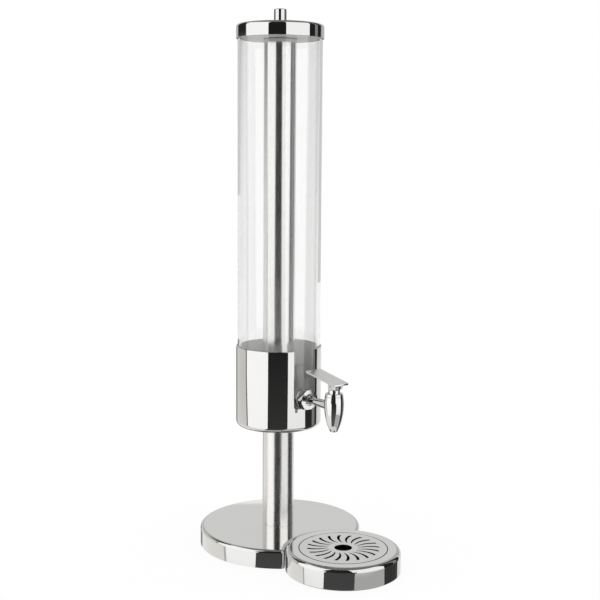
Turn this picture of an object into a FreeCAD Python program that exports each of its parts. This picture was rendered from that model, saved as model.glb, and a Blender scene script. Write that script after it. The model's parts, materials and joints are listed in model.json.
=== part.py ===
"""Beer tower dispenser.

A clear tank stands in a steel cup on a column, with an ice tube inside it, a lid on top, a
lever tap near its foot and a drip tray nested in front of the round base.

Millimetres. The column's axis is the Z axis, the table is z = 0 and the tap points along -Y.
"""
import FreeCAD, Part

import math
import os

import Sketcher

# The driving dimensions, each a plain number in the document's sheet.
SIZES = {
    # Base
    "base_radius": 108.0,
    "base_height": 25.0,
    "base_shift": 5.0,
    "base_rounding": 3.0,
    "base_crease_rounding": 5.0,
    "base_sheet": 1.2,
    "skirt_lift": 1.0,
    "foot_pad_thickness": 2.5,
    "foot_pad_inset": 4.0,
    "base_plate_thickness": 2.0,
    "base_plate_fit": 0.2,
    "weight_radius": 75.0,
    "weight_gap": 3.0,
    "weight_rounding": 5.0,
    "bolt_recess_radius": 12.5,
    "bolt_recess_depth": 9.0,
    # Column
    "column_radius": 21.0,
    "column_wall": 1.5,
    "column_height": 137.0,
    "plug_fit": 0.1,
    "foot_plug_height": 16.0,
    "head_plug_height": 12.0,
    "bolt_radius": 5.0,
    "bolt_hole_fit": 0.4,
    "bolt_head_width": 17.0,
    "bolt_head_height": 6.4,
    "bolt_end_gap": 2.0,
    "washer_radius": 10.5,
    "washer_thickness": 1.6,
    # Cup
    "cup_radius": 57.0,
    "cup_sheet": 1.5,
    "cup_height": 108.0,
    "cup_rounding": 7.0,
    "cup_slot_width": 32.4,
    "cup_slot_sill": 31.6,
    "cup_slot_rounding": 3.5,
    "cup_pad_thickness": 4.0,
    "cup_pad_inner_radius": 27.0,
    "cup_screw_circle": 12.0,
    "cup_screw_radius": 2.0,
    "cup_screw_hole_fit": 0.2,
    "cup_screw_head_radius": 3.8,
    "cup_screw_head_height": 2.4,
    "cup_screw_length": 9.0,
    # Tank
    "tank_radius": 55.0,
    "tank_wall": 3.0,
    "tank_length": 516.5,
    "tank_edge": 1.0,
    "tank_floor_thickness": 5.0,
    "tank_glue_gap": 0.05,
    "socket_fit": 0.4,
    "socket_wall": 2.5,
    "socket_height": 5.0,
    # Ice tube
    "ice_radius": 21.0,
    "ice_wall": 1.2,
    "ice_foot_flange": 3.0,
    "ice_foot_spigot": 6.0,
    "ice_collar_radius": 21.8,
    "ice_collar_height": 4.5,
    "ice_collar_spigot": 5.0,
    "ice_collar_wall": 2.0,
    "ice_top_gap": 0.5,
    # Lid
    "lid_radius": 57.0,
    "lid_sheet": 1.2,
    "lid_overlap": 14.0,
    "lid_rounding": 2.5,
    "lid_insert_flange": 2.8,
    "lid_insert_fit": 0.9,
    "lid_insert_wall": 2.5,
    "lid_insert_boss_radius": 6.0,
    "lid_seal_section": 2.2,
    "lid_seal_gap": 0.3,
    "lid_seal_rise": 5.0,
    "knob_radius": 8.2,
    "knob_height": 19.7,
    "knob_bevel": 0.8,
    "knob_screw_radius": 2.0,
    "knob_screw_head_radius": 3.8,
    "knob_screw_head_height": 2.4,
    "knob_screw_reach": 10.0,
    "knob_hole_fit": 0.2,
    # Tap body
    "tap_rise": 45.0,
    "tap_reach": 116.5,
    "barrel_rise": 17.5,
    "barrel_drop": 32.0,
    "belly_radius": 12.8,
    "belly_rise": 3.0,
    "upper_curve": 60.0,
    "lower_curve": 80.0,
    "chamber_radius": 8.0,
    "valve_seat_drop": 14.0,
    "nozzle_bore": 3.2,
    "shank_root_radius": 6.2,
    "shank_neck_radius": 4.0,
    "shank_bead_radius": 4.7,
    "shank_bead_width": 1.6,
    "shank_bore": 3.0,
    "tail_radius": 6.5,
    "tail_hole_fit": 0.3,
    "tail_nut_fit": 0.05,
    "tail_reach": 3.0,
    "union_nut_width": 25.6,
    "union_nut_thickness": 9.5,
    "union_nut_corner": 1.8,
    "union_nut_back_corner": 0.4,
    "union_recess_radius": 8.25,
    "union_recess_depth": 6.3,
    "outer_gasket_radius": 12.0,
    "outer_gasket_thickness": 2.3,
    "inner_gasket_radius": 10.0,
    "inner_gasket_thickness": 2.5,
    "lock_nut_width": 19.0,
    "lock_nut_thickness": 5.0,
    # Valve
    "bonnet_flange": 3.5,
    "bonnet_plug_depth": 8.0,
    "bonnet_plug_fit": 0.1,
    "bonnet_boss_radius": 7.5,
    "bonnet_boss_height": 4.5,
    "stem_radius": 2.5,
    "stem_fit": 0.06,
    "seat_gap": 0.05,
    "seat_washer_radius": 6.0,
    "seat_washer_thickness": 3.0,
    "stem_collar_radius": 6.8,
    "stem_collar_thickness": 2.5,
    "stem_eye_radius": 3.3,
    "stem_eye_width": 9.8,
    "spring_radius": 4.6,
    "spring_wire": 0.9,
    "spring_turns": 5.0,
    "spring_end_gap": 0.1,
    # Lever
    "pivot_rise": 5.6,
    "pivot_radius": 1.5,
    "pivot_fit": 0.05,
    "pivot_overhang": 0.3,
    "cam_reach": 2.75,
    "cam_raise": 1.0,
    "cam_clearance": 0.08,
    "cheek_width": 14.2,
    "cheek_gap": 10.2,
    "cheek_back": 4.4,
    "cheek_front": 7.3,
    "cheek_relief": 1.5,
    "lever_width": 25.0,
    "lever_thickness": 1.9,
    "lever_height": 5.7,
    "lever_back": 43.5,
    "lever_front": 13.6,
    "lever_fall": 9.8,
    "lever_corner": 2.0,
    # Drip tray
    "tray_reach": 137.5,
    "tray_radius": 73.5,
    "tray_height": 28.3,
    "tray_rounding": 6.0,
    "tray_sheet": 1.5,
    "tray_gap": 0.5,
    "tray_plate_thickness": 1.5,
    "tray_pad_width": 10.0,
    "grate_radius": 55.6,
    "grate_gap": 1.2,
    "grate_thickness": 1.5,
    "grate_ledge": 5.0,
    "bowl_rim": 5.0,
    "bowl_sheet": 1.2,
    "bowl_rounding": 5.0,
    "finger_radius": 11.3,
    "grate_slot_start": 19.0,
    "grate_slot_end": 46.0,
    "grate_slot_inner_bow": 31.9,
    "grate_slot_inner_side": 29.8,
    "grate_slot_inner_middle": 32.5,
    "grate_slot_outer_bow": 27.2,
    "grate_slot_outer_side": 21.8,
    "grate_slot_outer_middle": 35.0,
}

SHEET = "Sizes"
CUP_SCREWS = 3
GRATE_SLOTS = 20
HEX_CORNER = 1.0 / math.sqrt(3.0)
TOLERANCE = 1e-4
DOC = FreeCAD.newDocument("beer_tower")
PIECES = []


class Size:
    """A number together with the sheet expression that gives it."""

    def __init__(self, value, text):
        self.value = float(value)
        self.text = text

    @staticmethod
    def of(thing):
        """Return the thing as a Size."""
        return thing if isinstance(thing, Size) else Size(thing, "(%r)" % float(thing))

    def __add__(self, other):
        other = Size.of(other)
        return Size(self.value + other.value, "(%s + %s)" % (self.text, other.text))

    def __sub__(self, other):
        other = Size.of(other)
        return Size(self.value - other.value, "(%s - %s)" % (self.text, other.text))

    def __mul__(self, other):
        other = Size.of(other)
        return Size(self.value * other.value, "(%s * %s)" % (self.text, other.text))

    def __truediv__(self, other):
        other = Size.of(other)
        return Size(self.value / other.value, "(%s / %s)" % (self.text, other.text))

    def __neg__(self):
        return Size(-self.value, "(0 - %s)" % self.text)


class Sizes:
    """The sheet of driving dimensions, read by name."""

    def __init__(self, table):
        self.sheet = DOC.addObject("Spreadsheet::Sheet", SHEET)
        for row, (alias, value) in enumerate(table.items(), start=1):
            self.sheet.set("A%d" % row, alias)
            self.sheet.set("B%d" % row, str(value))
            self.sheet.setAlias("B%d" % row, alias)
            setattr(self, alias, Size(value, "%s.%s" % (SHEET, alias)))
        DOC.recompute()


d = Sizes(SIZES)
ZERO = Size(0.0, "0")


class Outline:
    """A closed outline in a sketch: lines and arcs, with its corners and centres bound to the sheet.

    A corner is bound in "xy", "x", "y" or "", or it is "smooth", where two edges run into each
    other. An arc whose centre is given as bare numbers finds its centre from its smooth corners.
    """

    def __init__(self, sketch, x, y, bound="xy"):
        self.sketch = sketch
        self.corners = [(Size.of(x), Size.of(y), bound)]
        self.edges = []

    def line(self, x, y, bound="xy"):
        """Draw a straight edge to the next corner."""
        self.corners.append((Size.of(x), Size.of(y), bound))
        self.edges.append(None)
        return self

    def arc(self, x, y, centre, turn, radius=None, bound="y"):
        """Draw an arc to the next corner; turn is 1 anticlockwise and -1 clockwise."""
        self.corners.append((Size.of(x), Size.of(y), bound))
        self.edges.append((centre, turn, radius))
        return self

    def close(self, centre=None, turn=1, radius=None):
        """Draw the last edge back to the first corner and return the sketch."""
        self.edges.append(None if centre is None else (centre, turn, radius))
        ends = [self._draw(number) for number in range(len(self.edges))]
        for number, (start, _) in enumerate(ends):
            before = ends[number - 1][1]
            join = "Tangent" if self.corners[number][2] == "smooth" else "Coincident"
            link = Sketcher.Constraint(join, (number - 1) % len(ends), before, number, start)
            self.sketch.addConstraint(link)
            self._bind_corner(number, start)
        return self.sketch

    def _draw(self, number):
        """Add one edge; return which of its vertices is the start and which the end."""
        x0, y0, _ = self.corners[number]
        x1, y1, _ = self.corners[(number + 1) % len(self.corners)]
        start = FreeCAD.Vector(x0.value, y0.value, 0)
        end = FreeCAD.Vector(x1.value, y1.value, 0)
        if self.edges[number] is None:
            self.sketch.addGeometry(Part.LineSegment(start, end), False)
            return 1, 2
        place, turn, radius = self.edges[number]
        centre = FreeCAD.Vector(Size.of(place[0]).value, Size.of(place[1]).value, 0)
        angles = [math.atan2(p.y - centre.y, p.x - centre.x) for p in (start, end)]
        if turn < 0:
            angles.reverse()
        circle = Part.Circle(centre, FreeCAD.Vector(0, 0, 1), (start - centre).Length)
        self.sketch.addGeometry(Part.ArcOfCircle(circle, angles[0], angles[1]), False)
        if isinstance(place[0], Size):
            bind_point(self.sketch, number, 3, place[0], place[1])
        if radius is not None:
            bind(self.sketch, Sketcher.Constraint("Radius", number, radius.value), radius)
        return (1, 2) if turn > 0 else (2, 1)

    def _bind_corner(self, number, vertex):
        x, y, bound = self.corners[number]
        bind_point(self.sketch, number, vertex, x if "x" in bound else None, y if "y" in bound else None)


def bind(sketch, constraint, size):
    """Add a constraint whose value is the size's expression."""
    index = sketch.addConstraint(constraint)
    sketch.setExpression("Constraints[%d]" % index, size.text)


def bind_point(sketch, edge, vertex, x, y):
    """Fix a point of an edge at its distances from the sketch's origin."""
    if x is not None:
        bind(sketch, Sketcher.Constraint("DistanceX", -1, 1, edge, vertex, x.value), x)
    if y is not None:
        bind(sketch, Sketcher.Constraint("DistanceY", -1, 1, edge, vertex, y.value), y)


def meet(first, second, side):
    """Return where two circles (x, y, radius) cross, on the given side of the line of centres."""
    x0, y0, r0 = [Size.of(part).value for part in first]
    x1, y1, r1 = [Size.of(part).value for part in second]
    span = math.hypot(x1 - x0, y1 - y0)
    along = (r0 ** 2 - r1 ** 2 + span ** 2) / (2 * span)
    across = side * math.sqrt(r0 ** 2 - along ** 2)
    ux, uy = (x1 - x0) / span, (y1 - y0) / span
    return x0 + along * ux - across * uy, y0 + along * uy + across * ux


def level(height, near=None, far=None):
    """Return a test for edges that lie flat at a height, with their middle between two radii."""
    height = Size.of(height).value

    def test(edge):
        flat = all(abs(vertex.Point.z - height) < TOLERANCE for vertex in edge.Vertexes)
        flat = flat and abs(edge.CenterOfMass.z - height) < TOLERANCE
        reach = max(math.hypot(vertex.Point.x, vertex.Point.y) for vertex in edge.Vertexes)
        return flat and (near is None or reach > near) and (far is None or reach < far)

    return test


class Piece:
    """One piece of the tower: a body and the features that shape it, set at its place."""

    def __init__(self, label, x=ZERO, y=ZERO, z=ZERO):
        self.body = DOC.addObject("PartDesign::Body", label)
        self.body.Label = label
        self.label = label
        for axis, size in (("x", x), ("y", y), ("z", z)):
            self.body.setExpression("Placement.Base.%s" % axis, size.text)
        PIECES.append(self)

    def sketch(self, plane, name):
        """Start a sketch on one of the body's own origin planes."""
        sketch = self.body.newObject("Sketcher::SketchObject", "%s_%s" % (self.label, name))
        planes = [item for item in self.body.Origin.OriginFeatures if item.Role == plane + "_Plane"]
        sketch.AttachmentSupport = (planes[0], [""])
        sketch.MapMode = "FlatFace"
        return sketch

    def outline(self, plane, name, x, y, bound="xy"):
        """Start an outline at its first corner."""
        return Outline(self.sketch(plane, name), x, y, bound)

    def circles(self, plane, name, *radii, x=ZERO, y=ZERO):
        """Sketch circles about one centre."""
        sketch = self.sketch(plane, name)
        for number, radius in enumerate(radii):
            centre = FreeCAD.Vector(x.value, y.value, 0)
            sketch.addGeometry(Part.Circle(centre, FreeCAD.Vector(0, 0, 1), radius.value), False)
            bind_point(sketch, number, 3, x, y)
            bind(sketch, Sketcher.Constraint("Radius", number, radius.value), radius)
        return sketch

    def hexagon(self, plane, name, width):
        """Sketch a hexagon of the given width across its flats."""
        corner, half = width * HEX_CORNER, width * (HEX_CORNER / 2)
        outline = self.outline(plane, name, corner, ZERO)
        outline.line(half, width / 2).line(-half, width / 2).line(-corner, ZERO)
        return outline.line(-half, -width / 2).line(half, -width / 2).close()

    def _add(self, kind, sketch, **settings):
        feature = self.body.newObject("PartDesign::" + kind, "%s_%s_%s" % (self.label, kind, sketch.Name))
        feature.Profile = sketch
        for name, value in settings.items():
            if isinstance(value, Size):
                feature.setExpression(name, value.text)
            else:
                setattr(feature, name, value)
        before = self.body.Shape.Volume if self.body.Shape.Solids else 0.0
        DOC.recompute()
        grows = kind in ("Pad", "Revolution", "AdditiveHelix")
        if (self.body.Shape.Volume > before) != grows:
            raise ValueError("%s does not change its solid the right way" % feature.Name)
        return feature

    def pad(self, sketch, length, backward=False, both=False):
        """Raise the sketch into a solid."""
        side = "Symmetric" if both else "One side"
        return self._add("Pad", sketch, SideType=side, Reversed=backward, Length=length)

    def pocket(self, sketch, length, backward=False, both=False):
        """Cut the sketch into the solid."""
        side = "Symmetric" if both else "One side"
        return self._add("Pocket", sketch, SideType=side, Reversed=backward, Length=length)

    def revolve(self, sketch, axis="V_Axis"):
        """Turn the sketch once round one of its axes."""
        return self._add("Revolution", sketch, ReferenceAxis=(sketch, [axis]))

    def groove(self, sketch, axis="V_Axis"):
        """Cut the sketch out once round one of its axes."""
        return self._add("Groove", sketch, ReferenceAxis=(sketch, [axis]))

    def coil(self, sketch, length, turns):
        """Wind the sketch upwards round its vertical axis."""
        axis = (sketch, ["V_Axis"])
        mode = "height-turns-angle"
        return self._add("AdditiveHelix", sketch, ReferenceAxis=axis, Mode=mode, Height=length, Turns=turns)

    def dress(self, kind, size, test):
        """Fillet or chamfer the edges that the test picks."""
        tip = self.body.Tip
        names = ["Edge%d" % (number + 1) for number, edge in enumerate(tip.Shape.Edges) if test(edge)]
        if not names:
            raise ValueError("no edge of %s to dress" % self.label)
        feature = self.body.newObject("PartDesign::" + kind, "%s_%s" % (tip.Name, kind))
        feature.Base = (tip, names)
        feature.setExpression("Radius" if kind == "Fillet" else "Size", size.text)
        DOC.recompute()
        return feature

    def fillet(self, radius, test):
        """Round the edges that the test picks."""
        return self.dress("Fillet", radius, test)

    def chamfer(self, size, test):
        """Bevel the edges that the test picks."""
        return self.dress("Chamfer", size, test)

    def repeat(self, count, *features):
        """Repeat features round the axis that the first one's sketch faces."""
        before = features[-1].Shape.Volume
        pattern = self.body.newObject("PartDesign::PolarPattern", self.label + "_pattern")
        pattern.Originals = list(features)
        pattern.Axis = (features[0].Profile[0], ["N_Axis"])
        pattern.Angle = 360
        pattern.Occurrences = count
        self.body.Tip = pattern
        DOC.recompute()
        if abs(self.body.Shape.Volume - before) < TOLERANCE:
            raise ValueError("%s repeats nothing" % pattern.Name)


# Heights and reaches that several pieces share.
base_plate_foot = d.foot_pad_thickness
base_plate_top = base_plate_foot + d.base_plate_thickness
base_ceiling = d.base_height - d.base_sheet
bite_radius = d.tray_radius + d.tray_gap
cup_foot = d.base_height + d.column_height
cup_floor = cup_foot + d.cup_sheet
tank_foot = cup_floor + d.cup_pad_thickness
tank_floor_top = tank_foot + d.tank_floor_thickness
tank_top = tank_foot + d.tank_length
tank_bore = d.tank_radius - d.tank_wall
lid_foot = tank_top - d.lid_overlap
lid_ceiling = tank_top + d.lid_insert_flange
lid_top = lid_ceiling + d.lid_sheet
tap_level = cup_foot + d.tap_rise
column_bore = d.column_radius - d.column_wall
ice_bore = d.ice_radius - d.ice_wall
ice_tube_foot = tank_floor_top + d.ice_foot_flange
ice_collar_top = lid_foot - d.ice_top_gap
ice_tube_top = ice_collar_top - d.ice_collar_height
washer_foot = base_plate_top + d.bolt_recess_depth - d.washer_thickness


def base_sketch(piece, name, radius, shift, bite, rounding):
    """Sketch a disc with the drip tray's bite taken out of its front and the two corners rounded."""
    disc, tray = (ZERO, -shift), (ZERO, -d.tray_reach)
    x, y = meet((*disc, radius - rounding), (*tray, bite + rounding), 1)
    x = abs(x)
    away = (y - disc[1].value) / (radius - rounding).value
    sideways = x / (radius - rounding).value
    outer = (disc[0].value + sideways * radius.value, disc[1].value + away * radius.value)
    away = (y - tray[1].value) / (bite + rounding).value
    sideways = x / (bite + rounding).value
    inner = (sideways * bite.value, tray[1].value + away * bite.value)
    outline = piece.outline("XY", name, *outer, bound="smooth")
    outline.arc(-outer[0], outer[1], disc, 1, radius, bound="smooth")
    outline.arc(-inner[0], inner[1], (-x, y), 1, rounding, bound="smooth")
    outline.arc(inner[0], inner[1], tray, -1, bite, bound="smooth")
    return outline.close((x, y), 1, rounding)


def base_slab(label, foot, thickness, inset):
    """Make a flat slab of the base's outline, drawn in by an inset."""
    piece = Piece(label, z=foot)
    sketch = base_sketch(piece, "edge", d.base_radius - inset, d.base_shift, bite_radius + inset,
                         d.base_crease_rounding - inset)
    piece.pad(sketch, thickness)
    return piece


def base_shell():
    """The drawn steel cover: rounded along its top, hollow below and bitten for the tray."""
    height = d.base_height - d.skirt_lift
    piece = base_slab("base_shell", d.skirt_lift, height, ZERO)
    piece.fillet(d.base_rounding, level(height))
    hollow = base_sketch(piece, "hollow", d.base_radius - d.base_sheet, d.base_shift,
                         bite_radius + d.base_sheet, d.base_crease_rounding - d.base_sheet)
    piece.pocket(hollow, height - d.base_sheet, backward=True)
    piece.fillet(d.base_rounding - d.base_sheet, level(height - d.base_sheet))
    piece.pocket(piece.circles("XY", "bolt_hole", d.bolt_radius + d.bolt_hole_fit), height, backward=True)


def base_inside():
    """The rubber pad, the closing plate and the iron weight that keeps the tower upright."""
    base_slab("base_pad", ZERO, d.foot_pad_thickness, d.foot_pad_inset)
    base_slab("base_plate", base_plate_foot, d.base_plate_thickness, d.base_sheet + d.base_plate_fit)
    weight = Piece("base_weight", z=base_plate_top)
    bite = bite_radius + d.base_sheet + d.weight_gap
    edge = base_sketch(weight, "edge", d.weight_radius, ZERO, bite, d.weight_rounding)
    weight.pad(edge, base_ceiling - base_plate_top)
    weight.pocket(weight.circles("XY", "recess", d.bolt_recess_radius), d.bolt_recess_depth, backward=True)
    hole = weight.circles("XY", "bolt_hole", d.bolt_radius + d.bolt_hole_fit)
    weight.pocket(hole, base_ceiling - base_plate_top, backward=True)


def column():
    """The polished column tube, its two plugs and the bolt that pulls it down on the base."""
    tube = Piece("column_tube", z=d.base_height)
    tube.pad(tube.circles("XY", "ring", d.column_radius, column_bore), d.column_height)

    foot = Piece("column_foot", z=d.base_height)
    foot.pad(foot.circles("XY", "disc", column_bore - d.plug_fit), d.foot_plug_height)
    foot.pocket(foot.circles("XY", "thread", d.bolt_radius), d.foot_plug_height, backward=True)

    head = Piece("column_head", z=cup_foot - d.head_plug_height)
    head.pad(head.circles("XY", "disc", column_bore - d.plug_fit), d.head_plug_height)
    thread = head.circles("XY", "thread", d.cup_screw_radius, y=d.cup_screw_circle)
    head.repeat(CUP_SCREWS, head.pocket(thread, d.head_plug_height, backward=True))

    washer = Piece("column_washer", z=washer_foot)
    ring = washer.circles("XY", "ring", d.washer_radius, d.bolt_radius + d.bolt_hole_fit)
    washer.pad(ring, d.washer_thickness)

    bolt = Piece("column_bolt", z=washer_foot - d.bolt_head_height)
    bolt.pad(bolt.hexagon("XY", "head", d.bolt_head_width), d.bolt_head_height)
    bolt_top = d.base_height + d.foot_plug_height - d.bolt_end_gap
    bolt.pad(bolt.circles("XY", "shank", d.bolt_radius), bolt_top - (washer_foot - d.bolt_head_height))


def cup():
    """The drawn cup that holds the tank, with the slot that the tap lifts out through."""
    piece = Piece("cup", z=cup_foot)
    piece.pad(piece.circles("XY", "outside", d.cup_radius), d.cup_height)
    piece.fillet(d.cup_rounding, level(0.0))
    hollow = piece.outline("XZ", "hollow", ZERO, d.cup_sheet)
    bore = d.cup_radius - d.cup_sheet
    flat = d.cup_radius - d.cup_rounding
    hollow.line(flat, d.cup_sheet)
    hollow.arc(bore, d.cup_rounding, (flat, d.cup_rounding), 1)
    hollow.line(bore, d.cup_height + d.cup_sheet)
    hollow.line(ZERO, d.cup_height + d.cup_sheet)
    piece.groove(hollow.close())

    half = d.cup_slot_width / 2
    corner = half - d.cup_slot_rounding
    rise = d.cup_slot_sill + d.cup_slot_rounding
    over = d.cup_height + d.cup_sheet
    slot = piece.outline("XZ", "slot", -half, over)
    slot.line(-half, rise)
    slot.arc(-corner, d.cup_slot_sill, (-corner, rise), 1, bound="x")
    slot.line(corner, d.cup_slot_sill)
    slot.arc(half, rise, (corner, rise), 1)
    slot.line(half, over)
    piece.pocket(slot.close(), d.cup_radius + d.cup_sheet, backward=True)
    hole = piece.circles("XY", "screw", d.cup_screw_radius + d.cup_screw_hole_fit, y=d.cup_screw_circle)
    piece.repeat(CUP_SCREWS, piece.pocket(hole, d.cup_sheet, backward=True))


def cup_fittings():
    """The screws that hold the cup on the column and the rubber ring that the tank stands on."""
    screws = Piece("cup_screws", z=cup_floor)
    head = screws.circles("XY", "head", d.cup_screw_head_radius, y=d.cup_screw_circle)
    shank = screws.circles("XY", "shank", d.cup_screw_radius, y=d.cup_screw_circle)
    head = screws.pad(head, d.cup_screw_head_height)
    screws.repeat(CUP_SCREWS, head, screws.pad(shank, d.cup_screw_length, backward=True))

    pad = Piece("cup_pad", z=cup_floor)
    ring = pad.circles("XY", "ring", d.cup_radius - d.cup_rounding, d.cup_pad_inner_radius)
    pad.pad(ring, d.cup_pad_thickness)


def tank():
    """The clear tube and its glued floor, whose raised ring keeps the ice tube upright."""
    tube = Piece("tank_tube", z=tank_foot)
    tube.pad(tube.circles("XY", "ring", d.tank_radius, tank_bore), d.tank_length)
    tube.chamfer(d.tank_edge, level(0.0, near=tank_bore.value + d.tank_wall.value / 2))
    hole = tube.circles("XZ", "tap_hole", d.tail_radius + d.tail_hole_fit, y=tap_level - tank_foot)
    tube.pocket(hole, d.tank_radius + d.tank_wall, backward=True)

    floor = Piece("tank_floor", z=tank_foot)
    ring = d.ice_radius + d.socket_fit
    ring_top = d.tank_floor_thickness + d.socket_height
    section = floor.outline("XZ", "section", ZERO, ZERO)
    section.line(tank_bore - d.tank_glue_gap, ZERO).line(tank_bore - d.tank_glue_gap, d.tank_floor_thickness)
    section.line(ring + d.socket_wall, d.tank_floor_thickness).line(ring + d.socket_wall, ring_top)
    section.line(ring, ring_top).line(ring, d.tank_floor_thickness).line(ZERO, d.tank_floor_thickness)
    floor.revolve(section.close())


def ice_tube():
    """The steel tube for ice, closed by a moulded foot and finished by a moulded collar."""
    foot = Piece("ice_tube_foot", z=tank_floor_top)
    foot.pad(foot.circles("XY", "flange", d.ice_radius), d.ice_foot_flange)
    foot.pad(foot.circles("XY", "spigot", ice_bore - d.plug_fit), d.ice_foot_flange + d.ice_foot_spigot)

    tube = Piece("ice_tube", z=ice_tube_foot)
    tube.pad(tube.circles("XY", "ring", d.ice_radius, ice_bore), ice_tube_top - ice_tube_foot)

    collar = Piece("ice_tube_collar", z=ice_tube_top - d.ice_collar_spigot)
    spigot = ice_bore - d.plug_fit
    mouth = spigot - d.ice_collar_wall
    top = d.ice_collar_spigot + d.ice_collar_height
    section = collar.outline("XZ", "section", mouth, ZERO)
    section.line(spigot, ZERO).line(spigot, d.ice_collar_spigot)
    section.line(d.ice_collar_radius, d.ice_collar_spigot).line(d.ice_collar_radius, top).line(mouth, top)
    collar.revolve(section.close())


def lid():
    """The steel cap, the moulded plug under it, the plug's sealing ring, the knob and its screw."""
    shell = Piece("lid_shell", z=lid_foot)
    height = lid_top - lid_foot
    shell.pad(shell.circles("XY", "outside", d.lid_radius), height)
    shell.fillet(d.lid_rounding, level(height))
    inside = shell.circles("XY", "inside", d.lid_radius - d.lid_sheet)
    shell.pocket(inside, height - d.lid_sheet, backward=True)
    shell.fillet(d.lid_rounding - d.lid_sheet, level(height - d.lid_sheet))
    hole = d.knob_screw_radius + d.knob_hole_fit
    shell.pocket(shell.circles("XY", "screw_hole", hole), height, backward=True)

    insert = Piece("lid_insert", z=lid_foot)
    plug = tank_bore - d.lid_insert_fit
    inner = plug - d.lid_insert_wall - d.lid_seal_section
    flange = d.lid_radius - d.lid_sheet - d.lid_rounding
    top = lid_ceiling - lid_foot
    seal_low = d.lid_seal_rise - d.lid_seal_section / 2
    seal_high = d.lid_seal_rise + d.lid_seal_section / 2
    groove_floor = plug - d.lid_seal_section + d.lid_insert_fit - d.lid_seal_gap
    section = insert.outline("XZ", "section", hole, ZERO)
    section.line(plug, ZERO).line(plug, seal_low).line(groove_floor, seal_low)
    section.line(groove_floor, seal_high).line(plug, seal_high).line(plug, d.lid_overlap)
    section.line(flange, d.lid_overlap).line(flange, top).line(inner, top)
    section.line(inner, d.lid_insert_wall).line(d.lid_insert_boss_radius, d.lid_insert_wall)
    section.line(d.lid_insert_boss_radius, top).line(hole, top)
    insert.revolve(section.close())

    seal = Piece("lid_seal", z=lid_foot + d.lid_seal_rise)
    middle = tank_bore - d.lid_seal_gap - d.lid_seal_section / 2
    seal.revolve(seal.circles("XZ", "section", d.lid_seal_section / 2, x=middle))

    knob = Piece("lid_knob", z=lid_top)
    knob.pad(knob.circles("XY", "disc", d.knob_radius), d.knob_height)
    knob.chamfer(d.knob_bevel, level(d.knob_height))
    thread = knob.circles("XY", "thread", d.knob_screw_radius)
    knob.pocket(thread, d.knob_screw_reach + d.knob_bevel, backward=True)

    screw = Piece("knob_screw", z=lid_foot)
    screw.pad(screw.circles("XY", "head", d.knob_screw_head_radius), d.knob_screw_head_height, backward=True)
    screw.pad(screw.circles("XY", "shank", d.knob_screw_radius), lid_top + d.knob_screw_reach - lid_foot)


# Tap: distances along the tap's own axis, measured from the column's axis.
nut_back = d.tank_radius + d.outer_gasket_thickness
nut_front = nut_back + d.union_nut_thickness
tail_front = nut_front - d.union_recess_depth
inner_gasket_back = tank_bore - d.inner_gasket_thickness
lock_nut_back = inner_gasket_back - d.lock_nut_thickness
tail_back = lock_nut_back - d.tail_reach
tail_hole = d.tail_radius + d.tail_nut_fit


def tap_piece(label):
    """Start a piece of the tap, set at the barrel's axis and at the height of the tap's axis."""
    return Piece(label, y=-d.tap_reach, z=tap_level)


def tap_body():
    """The tap's casting: a bullet-shaped barrel on a shank that tapers to the threaded tail."""
    piece = tap_piece("tap_body")
    rim = d.barrel_rise - d.bonnet_flange
    upper = (d.belly_radius - d.upper_curve, d.belly_rise)
    lower = (d.belly_radius - d.lower_curve, d.belly_rise)
    barrel = piece.outline("XZ", "barrel", ZERO, -d.barrel_drop)
    barrel.line(barrel_radius(-d.barrel_drop, d.lower_curve), -d.barrel_drop, bound="y")
    barrel.arc(d.belly_radius, d.belly_rise, lower, 1)
    barrel.arc(barrel_radius(rim, d.upper_curve), rim, upper, 1)
    barrel.line(ZERO, rim)
    piece.revolve(barrel.close())

    bead = d.shank_bead_width
    shank = piece.outline("YZ", "shank", ZERO, ZERO)
    shank.line(ZERO, d.shank_root_radius)
    shank.line(d.tap_reach - nut_front - bead, d.shank_neck_radius)
    shank.line(d.tap_reach - nut_front, d.shank_neck_radius)
    shank.line(d.tap_reach - nut_front, d.shank_bead_radius)
    shank.line(d.tap_reach - nut_front + bead, d.shank_bead_radius)
    shank.line(d.tap_reach - nut_front + bead, d.shank_neck_radius)
    shank.line(d.tap_reach - tail_front, d.shank_neck_radius)
    shank.line(d.tap_reach - tail_front, d.tail_radius)
    shank.line(d.tap_reach - tail_back, d.tail_radius)
    shank.line(d.tap_reach - tail_back, ZERO)
    piece.revolve(shank.close(), "H_Axis")

    chamber = piece.outline("XZ", "chamber", ZERO, -d.barrel_drop)
    chamber.line(d.nozzle_bore, -d.barrel_drop).line(d.nozzle_bore, -d.valve_seat_drop)
    chamber.line(d.chamber_radius, -d.valve_seat_drop).line(d.chamber_radius, rim).line(ZERO, rim)
    piece.groove(chamber.close())
    bore = piece.circles("XZ", "bore", d.shank_bore)
    piece.pocket(bore, d.tap_reach - tail_back)


def barrel_radius(height, curve):
    """Return the barrel's radius at a height above the tap's axis."""
    drop = (height - d.belly_rise).value
    return (d.belly_radius - curve).value + math.sqrt(curve.value ** 2 - drop ** 2)


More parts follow.
